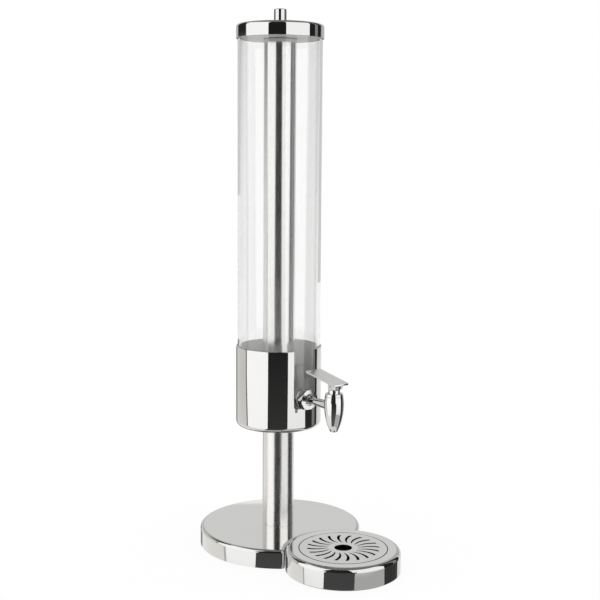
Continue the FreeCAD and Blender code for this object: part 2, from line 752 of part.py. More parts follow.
def tap_fixings():
    """The union nut outside the tank, the lock nut inside it and the gaskets between them."""
    nut = Piece("union_nut", z=tap_level)
    nut.pad(nut.hexagon("XZ", "hex", d.union_nut_width), nut_front)
    corner = d.union_nut_width * HEX_CORNER
    front = ("front_bevel", nut_front, d.union_nut_corner, -1.0)
    back = ("back_bevel", nut_back, d.union_nut_back_corner, 1.0)
    for name, face, size, step in (front, back):
        bevel = nut.outline("YZ", name, -face, corner - size)
        bevel.line(-face, corner + size)
        bevel.line(-(face + size * step), corner + size)
        nut.groove(bevel.close(), "H_Axis")
    nut.pocket(nut.circles("XZ", "back", d.union_nut_width), nut_back, backward=True)
    nut.pocket(nut.circles("XZ", "hole", tail_hole), nut_front, backward=True)
    recess = nut.outline("YZ", "recess", -nut_front, ZERO)
    recess.line(-nut_front, d.union_recess_radius).line(-tail_front, d.union_recess_radius)
    recess.line(-tail_front, ZERO)
    nut.groove(recess.close(), "H_Axis")

    outer = Piece("outer_gasket", z=tap_level)
    outer.pad(outer.circles("XZ", "ring", d.outer_gasket_radius, d.tail_radius + d.tail_hole_fit), nut_back)
    wall = outer.circles("XY", "tank", d.tank_radius)
    outer.pocket(wall, d.outer_gasket_radius * 2 + d.tank_wall, both=True)

    inner = Piece("inner_gasket", z=tap_level)
    inner.pad(inner.circles("XZ", "ring", d.inner_gasket_radius, tail_hole), d.tank_radius)
    inner.pocket(inner.circles("XZ", "inside", d.tank_radius), inner_gasket_back, backward=True)
    wall = inner.circles("XY", "tank", tank_bore, d.tank_radius + d.tank_wall)
    inner.pocket(wall, d.inner_gasket_radius * 2 + d.tank_wall, both=True)

    lock = Piece("lock_nut", z=tap_level)
    lock.pad(lock.hexagon("XZ", "hex", d.lock_nut_width), inner_gasket_back)
    lock.pocket(lock.circles("XZ", "hole", tail_hole), inner_gasket_back, backward=True)
    lock.pocket(lock.circles("XZ", "inside", d.lock_nut_width), lock_nut_back, backward=True)


# Valve: heights above the tap's axis.
bonnet_foot = d.barrel_rise - d.bonnet_flange - d.bonnet_plug_depth
washer_low = d.seat_gap - d.valve_seat_drop
washer_high = washer_low + d.seat_washer_thickness
collar_high = washer_high + d.stem_collar_thickness
pivot_level = d.barrel_rise + d.bonnet_boss_height + d.pivot_rise


def valve():
    """The bonnet, the stem with its eye, and the collar, washer and spring that shut the tap."""
    rim = d.barrel_rise - d.bonnet_flange
    plug = d.chamber_radius - d.bonnet_plug_fit
    guide = d.stem_radius + d.stem_fit
    bonnet = tap_piece("tap_bonnet")
    section = bonnet.outline("XZ", "section", guide, bonnet_foot)
    section.line(plug, bonnet_foot).line(plug, rim)
    section.line(barrel_radius(rim, d.upper_curve), rim, bound="y")
    section.arc(barrel_radius(d.barrel_rise, d.upper_curve), d.barrel_rise,
                (d.belly_radius - d.upper_curve, d.belly_rise), 1, d.upper_curve)
    section.line(d.bonnet_boss_radius, d.barrel_rise)
    section.line(d.bonnet_boss_radius, d.barrel_rise + d.bonnet_boss_height)
    section.line(guide, d.barrel_rise + d.bonnet_boss_height)
    bonnet.revolve(section.close())

    stem = tap_piece("valve_stem")
    rod = stem.outline("XZ", "rod", ZERO, washer_high)
    rod.line(d.stem_radius, washer_high).line(d.stem_radius, pivot_level).line(ZERO, pivot_level)
    stem.revolve(rod.close())
    stem.pad(stem.circles("YZ", "eye", d.stem_eye_radius, y=pivot_level), d.stem_eye_width, both=True)
    bore = stem.circles("YZ", "pivot_hole", d.pivot_radius + d.pivot_fit, y=pivot_level)
    stem.pocket(bore, d.stem_eye_width, both=True)

    collar = tap_piece("stem_collar")
    section = collar.outline("XZ", "section", d.stem_radius, washer_high)
    section.line(d.stem_collar_radius, washer_high).line(d.stem_collar_radius, collar_high)
    section.line(d.stem_radius, collar_high)
    collar.revolve(section.close())

    washer = tap_piece("seat_washer")
    section = washer.outline("XZ", "section", ZERO, washer_low)
    section.line(d.seat_washer_radius, washer_low).line(d.seat_washer_radius, washer_high)
    section.line(ZERO, washer_high)
    washer.revolve(section.close())

    spring = tap_piece("valve_spring")
    wire = d.spring_wire / 2
    low = collar_high + wire + d.spring_end_gap
    high = bonnet_foot - wire - d.spring_end_gap
    ring = spring.outline("XZ", "wire", d.spring_radius - wire, low - wire)
    ring.line(d.spring_radius + wire, low - wire).line(d.spring_radius + wire, low + wire)
    ring.line(d.spring_radius - wire, low + wire)
    spring.coil(ring.close(), high - low, d.spring_turns)


def lever():
    """The lever: a sloping plate on two cheeks whose undersides are the cam that lifts the stem."""
    piece = Piece("lever", y=-d.tap_reach, z=tap_level + pivot_level)
    slope = d.lever_fall / (d.lever_back + d.lever_front)
    back_top = d.lever_height + slope * d.lever_back
    front_top = d.lever_height - slope * d.lever_front
    plate = piece.outline("YZ", "plate", -d.lever_front, front_top)
    plate.line(-d.lever_front, front_top - d.lever_thickness).line(d.lever_back, back_top - d.lever_thickness)
    plate.line(d.lever_back, back_top)
    piece.pad(plate.close(), d.lever_width, both=True)
    edge = (d.lever_width / 2).value

    def corner(item):
        at_side = abs(abs(item.CenterOfMass.x) - edge) < TOLERANCE
        upright = abs(item.Vertexes[0].Point.z - item.Vertexes[-1].Point.z)
        return at_side and abs(upright - d.lever_thickness.value) < TOLERANCE

    piece.fillet(d.lever_corner, corner)

    foot = d.cam_clearance - d.pivot_rise
    cam = d.cam_raise - foot
    rise = math.sqrt(cam.value ** 2 - (d.cheek_front - d.cam_reach).value ** 2)
    under = d.lever_height - d.lever_thickness / 2
    cheek = piece.outline("YZ", "cheek", -d.cam_reach, foot)
    cheek.line(d.cheek_back - d.cheek_relief, foot)
    cheek.line(d.cheek_back, foot + d.cheek_relief)
    cheek.line(d.cheek_back, under + slope * d.cheek_back)
    cheek.line(-d.cheek_front, under - slope * d.cheek_front)
    cheek.line(-d.cheek_front, d.cam_raise.value - rise, bound="x")
    piece.pad(cheek.close((-d.cam_reach, d.cam_raise), 1), d.cheek_width, both=True)

    below = d.lever_height - d.lever_thickness
    reach = d.cheek_front + d.cheek_back
    gap = piece.outline("YZ", "gap", -reach, below - slope * reach)
    gap.line(-reach, -reach).line(reach, -reach).line(reach, below + slope * reach)
    piece.pocket(gap.close(), d.cheek_gap, both=True)
    piece.pocket(piece.circles("YZ", "pivot_hole", d.pivot_radius), d.cheek_width * 2, both=True)

    pin = Piece("pivot_pin", y=-d.tap_reach, z=tap_level + pivot_level)
    length = d.cheek_width + d.pivot_overhang * 2
    pin.pad(pin.circles("YZ", "disc", d.pivot_radius), length, both=True)


# Drip tray: heights above the table, in a frame on the tray's own axis.
grate_foot = d.tray_height - d.grate_thickness
ring_ceiling = d.tray_height - d.tray_sheet
mouth_radius = d.grate_radius + d.grate_gap
tray_plate_top = d.foot_pad_thickness + d.tray_plate_thickness


def tray_piece(label, foot=ZERO):
    """Start a piece of the drip tray on the tray's own axis."""
    return Piece(label, y=-d.tray_reach, z=foot)


def drip_tray():
    """The tray's steel shell, the bowl hung in it, its closing plate and its rubber foot ring."""
    shell = tray_piece("tray_shell", d.skirt_lift)
    height = d.tray_height - d.skirt_lift
    inside = d.tray_radius - d.tray_sheet
    shoulder = d.tray_radius - d.tray_rounding
    turn = (shoulder, height - d.tray_rounding)
    section = shell.outline("XZ", "section", inside, ZERO)
    section.line(d.tray_radius, ZERO).line(d.tray_radius, height - d.tray_rounding)
    section.arc(shoulder, height, turn, 1, bound="x").line(mouth_radius, height)
    section.line(mouth_radius, height - d.tray_sheet).line(shoulder, height - d.tray_sheet)
    section.arc(inside, height - d.tray_rounding, turn, -1)
    shell.revolve(section.close())

    bowl = tray_piece("drip_bowl", tray_plate_top)
    rim_top = ring_ceiling - tray_plate_top
    outer = d.grate_radius - d.grate_ledge
    turn = (outer - d.bowl_rounding, d.bowl_rounding)
    section = bowl.outline("XZ", "section", ZERO, ZERO)
    section.line(outer - d.bowl_rounding, ZERO)
    section.arc(outer, d.bowl_rounding, turn, 1)
    section.line(outer, rim_top - d.bowl_sheet).line(mouth_radius + d.bowl_rim, rim_top - d.bowl_sheet)
    section.line(mouth_radius + d.bowl_rim, rim_top).line(outer - d.bowl_sheet, rim_top)
    section.line(outer - d.bowl_sheet, d.bowl_rounding)
    section.arc(outer - d.bowl_rounding, d.bowl_sheet, turn, -1, bound="x")
    section.line(ZERO, d.bowl_sheet)
    bowl.revolve(section.close())

    plate = tray_piece("tray_plate", d.foot_pad_thickness)
    plate.pad(plate.circles("XY", "disc", inside - d.base_plate_fit), d.tray_plate_thickness)
    pad = tray_piece("tray_pad")
    rim = inside - d.base_plate_fit
    pad.pad(pad.circles("XY", "ring", rim, rim - d.tray_pad_width), d.foot_pad_thickness)


def grate():
    """The grate: a flat disc with a finger hole and a ring of bowed, tapered slots."""
    piece = tray_piece("grate", grate_foot)
    piece.pad(piece.circles("XY", "disc", d.grate_radius, d.finger_radius), d.grate_thickness)
    start = (ZERO, ZERO, d.grate_slot_start)
    end = (ZERO, ZERO, d.grate_slot_end)
    hollow_side = (d.grate_slot_inner_side, d.grate_slot_inner_middle, d.grate_slot_inner_bow)
    round_side = (d.grate_slot_outer_side, d.grate_slot_outer_middle, d.grate_slot_outer_bow)
    corners = [far_meet(start, hollow_side), far_meet(start, round_side)]
    corners += [far_meet(end, round_side), far_meet(end, hollow_side)]
    slot = piece.outline("XY", "slot", *corners[0], bound="")
    slot.arc(*corners[1], start[:2], 1, start[2], bound="")
    slot.arc(*corners[2], round_side[:2], -1, round_side[2], bound="")
    slot.arc(*corners[3], end[:2], -1, end[2], bound="")
    sketch = slot.close(hollow_side[:2], 1, hollow_side[2])
    piece.repeat(GRATE_SLOTS, piece.pocket(sketch, d.grate_thickness, backward=True))


def far_meet(ring, side):
    """Return where a slot's side crosses a ring about the grate's centre, at the far end of the slot."""
    return max((meet(ring, side, 1), meet(ring, side, -1)), key=lambda corner: corner[1])


def check_and_write():
    """Check every object of the document, then write each piece to its own file."""
    DOC.recompute()
    for item in DOC.Objects:
        if "Invalid" in item.State or "Error" in item.State:
            raise ValueError("%s failed: %s" % (item.Name, item.State))
    os.makedirs("parts", exist_ok=True)
    for piece in PIECES:
        shape = piece.body.Shape
        if shape.isNull() or not shape.isValid() or not shape.Solids:
            raise ValueError("%s has no sound solid" % piece.label)
    for piece in PIECES:
        piece.body.Shape.exportStep("parts/%s.step" % piece.label)


for make in (base_shell, base_inside, column, cup, cup_fittings, tank, ice_tube, lid,
             tap_body, tap_fixings, valve, lever, drip_tray, grate, check_and_write):
    make()
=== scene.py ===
"""Looks of a table-top drink tower with a clear tank, a lever tap and a drip tray.

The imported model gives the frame: where each piece is and which body it moves with. This script
models the pieces that show at a finer grain, gives every surface its finish and sets the studio.
Lengths are metres, in the frame's own axes: Z is the tower's axis and the tap points along -Y.
"""
import json
import logging
import math
from collections.abc import Callable, Sequence
from dataclasses import dataclass, field
from enum import Enum

import bmesh
import bpy
from mathutils import Matrix, Vector


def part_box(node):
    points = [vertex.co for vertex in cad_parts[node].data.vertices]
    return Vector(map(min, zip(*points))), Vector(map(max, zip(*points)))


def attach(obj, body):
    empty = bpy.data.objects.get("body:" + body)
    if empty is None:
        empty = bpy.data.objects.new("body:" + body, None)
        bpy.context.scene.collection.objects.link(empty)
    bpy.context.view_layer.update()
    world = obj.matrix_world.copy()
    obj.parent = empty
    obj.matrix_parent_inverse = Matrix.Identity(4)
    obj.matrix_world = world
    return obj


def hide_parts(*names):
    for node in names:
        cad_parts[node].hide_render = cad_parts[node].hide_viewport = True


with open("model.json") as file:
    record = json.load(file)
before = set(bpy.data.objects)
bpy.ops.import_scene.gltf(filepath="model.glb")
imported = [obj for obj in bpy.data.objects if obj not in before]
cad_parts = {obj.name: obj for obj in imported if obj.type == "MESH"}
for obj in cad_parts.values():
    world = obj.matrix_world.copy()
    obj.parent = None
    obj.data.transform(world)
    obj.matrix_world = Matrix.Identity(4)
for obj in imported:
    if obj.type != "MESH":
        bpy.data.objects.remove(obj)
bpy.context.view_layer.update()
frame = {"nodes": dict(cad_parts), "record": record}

LOG = logging.getLogger("tower")

ORIGIN = Vector((0.0, 0.0, 0.0))
X_AXIS = Vector((1.0, 0.0, 0.0))
Y_AXIS = Vector((0.0, 1.0, 0.0))
Z_AXIS = Vector((0.0, 0.0, 1.0))
# Edges round a large piece, round a small one and in a rounding, and faces across a broken edge.
ROUND_STEPS = 192
SMALL_ROUND_STEPS = 96
BEND_STEPS = 6
EDGE_SEGMENTS = 2
HEX_SIDES = 6
# Points closer than this are one point, and a surface that bends by less than this is shaded smooth.
WELD = 1e-6
SMOOTH_UNDER = math.radians(32)
# The least upward part of a face's normal, where the face is level and where it slopes.
LEVEL_FACE = 0.999
SLOPING_FACE = 0.9
# How far a cutter stands out of what it cuts, and the size of the plane that a line starts from.
OVERCUT = 0.002
SEED_SIZE = 0.002
WHITE = (1.0, 1.0, 1.0, 1.0)

Corner = tuple[float, float, float]


# ---------------------------------------------------------------- where the frame's pieces are


@dataclass(frozen=True)
class Place:
    """Where an upright round piece of the frame stands."""

    x: float
    y: float
    radius: float
    foot: float
    top: float

    @classmethod
    def of(cls, node: str) -> "Place":
        """Read a node's place from its box.

        Args:
            node: the name of a node that is round about an upright axis.

        Returns:
            Its axis, its radius and its two heights.
        """
        low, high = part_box(node)
        radius = (high.x - low.x) / 2
        # The front may be bitten out, so the axis is measured from the back.
        return cls((low.x + high.x) / 2, high.y - radius, radius, low.z, high.z)

    @property
    def height(self) -> float:
        """The height from foot to top."""
        return self.top - self.foot

    @property
    def axis_foot(self) -> Vector:
        """The point where the axis meets the height zero."""
        return Vector((self.x, self.y, 0.0))


# ---------------------------------------------------------------- modelling steps


def sweep(centre: Vector, first: Vector, last: Vector, steps: int) -> list[Vector]:
    """Divide the shorter arc between two points.

    Args:
        centre: the arc's centre.
        first: its first point, measured from the centre.
        last: its last point, measured from the centre.
        steps: the number of edges.

    Returns:
        The points along the arc.
    """
    swing = -first.angle_signed(last)
    return [centre + Matrix.Rotation(swing * step / steps, 2) @ first for step in range(steps + 1)]


def rounded(corners: Sequence[Corner], closed: bool, steps: int = BEND_STEPS) -> list[Vector]:
    """Round the corners of a flat line.

    Args:
        corners: the corners, each as across, up and the radius of its rounding.
        closed: whether the line runs back to its first corner.
        steps: the number of edges in each rounding.

    Returns:
        The points of the rounded line, as 2-D vectors.
    """
    points: list[Vector] = []
    count = len(corners)
    for number, (across, up, radius) in enumerate(corners):
        here = Vector((across, up))
        at_end = not closed and number in (0, count - 1)
        if radius <= 0.0 or at_end:
            points.append(here)
            continue
        before = Vector(corners[number - 1][:2]) - here
        after = Vector(corners[(number + 1) % count][:2]) - here
        before.normalize()
        after.normalize()
        half = before.angle(after) / 2
        reach = radius / math.tan(half)
        centre = here + (before + after).normalized() * (radius / math.sin(half))
        first = here + before * reach - centre
        last = here + after * reach - centre
        points += sweep(centre, first, last, steps)
    return points


def arc(centre: tuple[float, float], radius: float, first: float, last: float,
        steps: int) -> list[Corner]:
    """List corners along an arc.

    Args:
        centre: the arc's centre, across and up.
        radius: its radius.
        first: the angle of its first corner, anticlockwise from across, in degrees.
        last: the angle of its last corner, in degrees.
        steps: the number of edges.

    Returns:
        The corners, with no rounding of their own.
    """
    corners = []
    for step in range(steps + 1):
        angle = math.radians(first + (last - first) * step / steps)
        across, up = centre[0] + radius * math.cos(angle), centre[1] + radius * math.sin(angle)
        corners.append((across, up, 0.0))
    return corners


def sleeve(bore: float, radius: float, foot: float, top: float, edge: float) -> list[Corner]:
    """List the corners of a plain tube's section, whose four edges have one rounding."""
    return [(bore, foot, edge), (radius, foot, edge), (radius, top, edge), (bore, top, edge)]


def select_only(*things: bpy.types.Object) -> None:
    """Select objects alone and make the first one active.

    Args:
        *things: the objects.
    """
    bpy.ops.object.select_all(action="DESELECT")
    for thing in things:
        thing.select_set(True)
    bpy.context.view_layer.objects.active = things[0]


def draw_line(name: str, points: Sequence[Vector]) -> bpy.types.Object:
    """Draw a line of edges, from a small plane merged to its centre and extruded from point to point.

    Args:
        name: the new object's name.
        points: the line's points.

    Returns:
        The object, left in edit mode with its last point selected.
    """
    bpy.ops.object.select_all(action="DESELECT")
    bpy.ops.mesh.primitive_plane_add(size=SEED_SIZE)
    piece = bpy.context.object
    piece.name = piece.data.name = name
    bpy.ops.object.mode_set(mode="EDIT")
    bpy.ops.mesh.select_mode(type="VERT")
    bpy.ops.mesh.merge(type="CENTER")
    bpy.ops.transform.translate(value=points[0])
    for before, after in zip(points, points[1:]):
        bpy.ops.mesh.extrude_vertices_move(TRANSFORM_OT_translate={"value": after - before})
    return piece


def weld_and_face_out(piece: bpy.types.Object) -> None:
    """Merge a piece's doubles, turn its faces outwards and leave edit mode.

    Args:
        piece: the object, which is in edit mode.
    """
    bpy.ops.mesh.select_all(action="SELECT")
    bpy.ops.mesh.remove_doubles(threshold=WELD)
    bpy.ops.mesh.normals_make_consistent(inside=False)
    bpy.ops.object.mode_set(mode="OBJECT")
    select_only(piece)


def turn(name: str, corners: Sequence[Corner], closed: bool, origin: Vector, along: Vector = Z_AXIS,
         out: Vector = X_AXIS, steps: int = ROUND_STEPS, bend_steps: int = BEND_STEPS) -> bpy.types.Object:
    """Turn a section once round an axis, as on a lathe.

    Args:
        name: the new object's name.
        corners: the section's corners: the distance from the axis, the place along it, the rounding.
        closed: whether the section is a ring's, which doesn't touch the axis.
        origin: the point of the axis from which places are measured.
        along: the direction of the axis.
        out: the direction away from the axis in which the section is drawn.
        steps: the number of faces round the axis.
        bend_steps: the number of edges in each rounding.

    Returns:
        The turned object, in object mode.
    """
    line = rounded(corners, closed, bend_steps)
    if closed:
        line.append(line[0])
    points = [origin + out * point.x + along * point.y for point in line]
    piece = draw_line(name, points)
    bpy.ops.mesh.select_all(action="SELECT")
    bpy.ops.mesh.spin(steps=steps, angle=math.tau, center=origin, axis=along)
    weld_and_face_out(piece)
    return piece


def forward_rod(name: str, level: float, start: float,
                *stages: tuple[float, float]) -> bpy.types.Object:
    """Turn a stepped rod that runs forward from the tower's axis, to cut with.

    Args:
        name: the new object's name.
        level: the height of its axis.
        start: the distance of its back end from the tower's axis.
        *stages: each the radius and the distance at which it ends.

    Returns:
        The rod.
    """
    section, end = [(0.0, start, 0.0)], start
    for radius, stage_end in stages:
        section += [(radius, end, 0.0), (radius, stage_end, 0.0)]
        end = stage_end
    section += [(0.0, end, 0.0)]
    return turn(name, section, False, Z_AXIS * level, -Y_AXIS, steps=SMALL_ROUND_STEPS)


def slab(name: str, outline: Sequence[Vector], origin: Vector, across: Vector, up: Vector,
         depth: Vector) -> bpy.types.Object:
    """Raise a flat outline into a slab.

    Args:
        name: the new object's name.
        outline: the outline's points, as 2-D vectors.
        origin: the point from which the outline is measured.
        across: the direction of the outline's first coordinate.
        up: the direction of its second coordinate.
        depth: the direction and length of the extrusion.

    Returns:
        The slab, in object mode.
    """
    line = [*outline, outline[0]]
    points = [origin + across * point.x + up * point.y for point in line]
    piece = draw_line(name, points)
    bpy.ops.mesh.select_all(action="SELECT")
    bpy.ops.mesh.remove_doubles(threshold=WELD)
    bpy.ops.mesh.edge_face_add()
    bpy.ops.mesh.extrude_region_move(TRANSFORM_OT_translate={"value": depth})
    weld_and_face_out(piece)
    return piece


def apply_modifier(piece: bpy.types.Object, kind: str, **settings: object) -> None:
    """Add a modifier to a piece and apply it.

    Args:
        piece: the object to change.
        kind: the modifier's type.
        **settings: the modifier's own settings.
    """
    select_only(piece)
    modifier = piece.modifiers.new(kind.lower(), kind)
    for key, value in settings.items():
        setattr(modifier, key, value)
    bpy.ops.object.modifier_apply(modifier=modifier.name)


def combine(piece: bpy.types.Object, tool: bpy.types.Object, operation: str = "DIFFERENCE") -> None:
    """Cut, join or trim a piece with another object, which is then removed.

    Args:
        piece: the object to change.
        tool: the object that it is changed with.
        operation: DIFFERENCE, UNION or INTERSECT.
    """
    apply_modifier(piece, "BOOLEAN", operation=operation, object=tool, solver="EXACT")
    bpy.data.objects.remove(tool)


def break_edges(piece: bpy.types.Object, width: float, over: float = 40.0) -> None:
    """Round the sharp edges of a piece slightly.

    Args:
        piece: the object to change.
        width: how far the rounding reaches from each edge.
        over: the least angle between two faces that is rounded, in degrees.
    """
    apply_modifier(piece, "BEVEL", width=width, segments=EDGE_SEGMENTS, limit_method="ANGLE",
                   angle_limit=math.radians(over), harden_normals=False, miter_outer="MITER_ARC",
                   use_clamp_overlap=True)


def lies_at(part: bmesh.types.BMEdge | bmesh.types.BMFace, height: float) -> bool:
    """Tell whether every point of an edge or face lies at a height."""
    return all(abs(vertex.co.z - height) < WELD for vertex in part.verts)


def pick(piece: bpy.types.Object, kind: str,
         test: Callable[[bmesh.types.BMEdge | bmesh.types.BMFace], bool]) -> None:
    """Open a piece in edit mode with those of its edges or faces selected that a test picks.

    Args:
        piece: the object to open.
        kind: EDGE or FACE.
        test: says whether an edge or face is picked.
    """
    select_only(piece)
    bpy.ops.object.mode_set(mode="EDIT")
    bpy.ops.mesh.select_mode(type=kind)
    bpy.ops.mesh.select_all(action="DESELECT")
    mesh = bmesh.from_edit_mesh(piece.data)
    for part in mesh.edges if kind == "EDGE" else mesh.faces:
        part.select = test(part)
    bmesh.update_edit_mesh(piece.data)


def bevel_where(piece: bpy.types.Object, width: float, segments: int,
                test: Callable[[bmesh.types.BMEdge], bool]) -> None:
    """Bevel the edges that a test picks.

    Args:
        piece: the object to change.
        width: the bevel's offset.
        segments: the number of faces across it.
        test: says whether an edge is bevelled.
    """
    pick(piece, "EDGE", test)
    bpy.ops.mesh.bevel(offset=width, segments=segments, affect="EDGES", clamp_overlap=True)
    weld_and_face_out(piece)


def smooth(piece: bpy.types.Object) -> None:
    """Shade a piece smooth up to its sharp edges, with flat faces kept flat.

    Args:
        piece: the object to shade.
    """
    select_only(piece)
    bpy.ops.object.shade_smooth_by_angle(angle=SMOOTH_UNDER)
    apply_modifier(piece, "WEIGHTED_NORMAL", mode="FACE_AREA", weight=100, keep_sharp=True)


def copy_turned(piece: bpy.types.Object, angle: float, axis_foot: Vector) -> bpy.types.Object:
    """Copy a piece, mesh and all, and turn the copy round an upright axis.

    Args:
        piece: the object to copy.
        angle: the turn, in radians.
        axis_foot: a point on the axis.

    Returns:
        The copy, with the turn in its mesh.
    """
    copy = piece.copy()
    copy.data = piece.data.copy()
    bpy.context.scene.collection.objects.link(copy)
    there, back = Matrix.Translation(axis_foot), Matrix.Translation(-axis_foot)
    copy.data.transform(there @ Matrix.Rotation(angle, 4, "Z") @ back)
    return copy


def join(*things: bpy.types.Object) -> bpy.types.Object:
    """Join objects into the first one.

    Args:
        *things: the objects.

    Returns:
        The first one, which now holds them all.
    """
    select_only(*things)
    bpy.ops.object.join()
    return things[0]


# ---------------------------------------------------------------- finishes

# How strong a pattern's finer layers are.
NOISE_ROUGHNESS = 0.55
# The turn, as a share of a full one, that draws a highlight out along the tube.
ALONG_THE_TUBE = 0.25


class Grain(Enum):
    """The direction in which a metal surface was worked."""

    ROUND = "lines that run round the tower's axis"
    LEVEL = "lines that run along X"
    NONE = "no direction"


class Recipe:
    """A material under construction, with short calls for its nodes."""

    def __init__(self, name: str) -> None:
        """Start a material with its plain shader.

        Args:
            name: the material's name.
        """
        self.material = bpy.data.materials.new(name)
        self.material.use_nodes = True
        self.tree = self.material.node_tree
        self.shader = next(node for node in self.tree.nodes if node.type == "BSDF_PRINCIPLED")

    def node(self, kind: str, **settings: object) -> bpy.types.Node:
        """Add a node.

        Args:
            kind: the node's type.
            **settings: its properties; those that name an input set that input's value.

        Returns:
            The new node.
        """
        made = self.tree.nodes.new(kind)
        for key, value in settings.items():
            if hasattr(made, key):
                setattr(made, key, value)
            else:
                made.inputs[key.replace("_", " ")].default_value = value
        return made

    def link(self, source: bpy.types.NodeSocket, target: bpy.types.NodeSocket) -> None:
        """Join an output to an input."""
        self.tree.links.new(source, target)

    def noise(self, scale: tuple[float, float, float], detail: float,
              around: bool = False) -> bpy.types.NodeSocket:
        """Add a noise pattern on the piece's own coordinates.

        Args:
            scale: how many grains there are to the metre, along each axis.
            detail: the number of finer layers.
            around: whether the pattern reads distance from the tower's axis and height alone, so
                that it runs round the axis in rings.

        Returns:
            The pattern's value.
        """
        place = self.node("ShaderNodeTexCoord").outputs["Object"]
        if around:
            split = self.node("ShaderNodeSeparateXYZ")
            self.link(place, split.inputs[0])
            flat = self.node("ShaderNodeCombineXYZ")
            self.link(split.outputs["X"], flat.inputs["X"])
            self.link(split.outputs["Y"], flat.inputs["Y"])
            length = self.node("ShaderNodeVectorMath", operation="LENGTH")
            self.link(flat.outputs[0], length.inputs[0])
            rings = self.node("ShaderNodeCombineXYZ")
            self.link(length.outputs["Value"], rings.inputs["X"])
            self.link(split.outputs["Z"], rings.inputs["Z"])
            place = rings.outputs[0]
        mapping = self.node("ShaderNodeMapping")
        mapping.inputs["Scale"].default_value = scale
        self.link(place, mapping.inputs["Vector"])
        pattern = self.node("ShaderNodeTexNoise", Scale=1.0, Detail=detail, Roughness=NOISE_ROUGHNESS)
        self.link(mapping.outputs["Vector"], pattern.inputs["Vector"])
        return pattern.outputs[0]

    def spread(self, value: bpy.types.NodeSocket, low: float, high: float,
               start: float = 0.3, end: float = 0.7) -> bpy.types.NodeSocket:
        """Stretch a pattern's value over a range.

        Args:
            value: the pattern's value.
            low: the result at the range's start.
            high: the result at its end.
            start: the value that gives the low result.
            end: the value that gives the high result.

        Returns:
            The stretched value.
        """
        node = self.node("ShaderNodeMapRange")
        for key, number in (("From Min", start), ("From Max", end), ("To Min", low), ("To Max", high)):
            node.inputs[key].default_value = number
        self.link(value, node.inputs["Value"])
        return node.outputs["Result"]

    def work_out(self, operation: str, value: bpy.types.NodeSocket,
                 number: float) -> bpy.types.NodeSocket:
        """Work out a value and a number.

        Args:
            operation: what a Math node does with the two.
            value: the value.
            number: the number.

        Returns:
            The result.
        """
        node = self.node("ShaderNodeMath", operation=operation)
        node.inputs[1].default_value = number
        self.link(value, node.inputs[0])
        return node.outputs[0]

    def mix_surface(self, share: bpy.types.NodeSocket, first: bpy.types.Node,
                    second: bpy.types.Node) -> None:
        """Put a mix of two shaders in the plain one's place.

        Args:
            share: how much of the second one shows, from 0 to 1.
            first: the first shader.
            second: the second shader.
        """
        mix = self.node("ShaderNodeMixShader")
        for source, target in zip((share, first.outputs[0], second.outputs[0]), mix.inputs):
            self.link(source, target)
        output = next(node for node in self.tree.nodes if node.type == "OUTPUT_MATERIAL")
        self.link(mix.outputs[0], output.inputs["Surface"])
        self.tree.nodes.remove(self.shader)

    def tint(self, value: bpy.types.NodeSocket, dark: Sequence[float], light: Sequence[float]) -> None:
        """Colour the surface between two colours.

        Args:
            value: where between the two it is, from 0 to 1.
            dark: the colour at 0.
            light: the colour at 1.
        """
        mix = self.node("ShaderNodeMix", data_type="RGBA")
        ends = [socket for socket in mix.inputs if socket.type == "RGBA"]
        for end, colour in zip(ends, (dark, light)):
            end.default_value = (*colour, 1.0)
        self.link(value, mix.inputs["Factor"])
        self.link(next(socket for socket in mix.outputs if socket.type == "RGBA"),
                  self.shader.inputs["Base Color"])

    def relief(self, *layers: tuple[bpy.types.NodeSocket, float]) -> None:
        """Raise the surface by patterns.

        Args:
            *layers: each a pattern's value and the height that it gives, in metres.
        """
        normal = None
        for height, distance in layers:
            bump = self.node("ShaderNodeBump")
            bump.inputs["Strength"].default_value = 1.0
            bump.inputs["Distance"].default_value = distance
            self.link(height, bump.inputs["Height"])
            if normal is not None:
                self.link(normal, bump.inputs["Normal"])
            normal = bump.outputs["Normal"]
        self.link(normal, self.shader.inputs["Normal"])


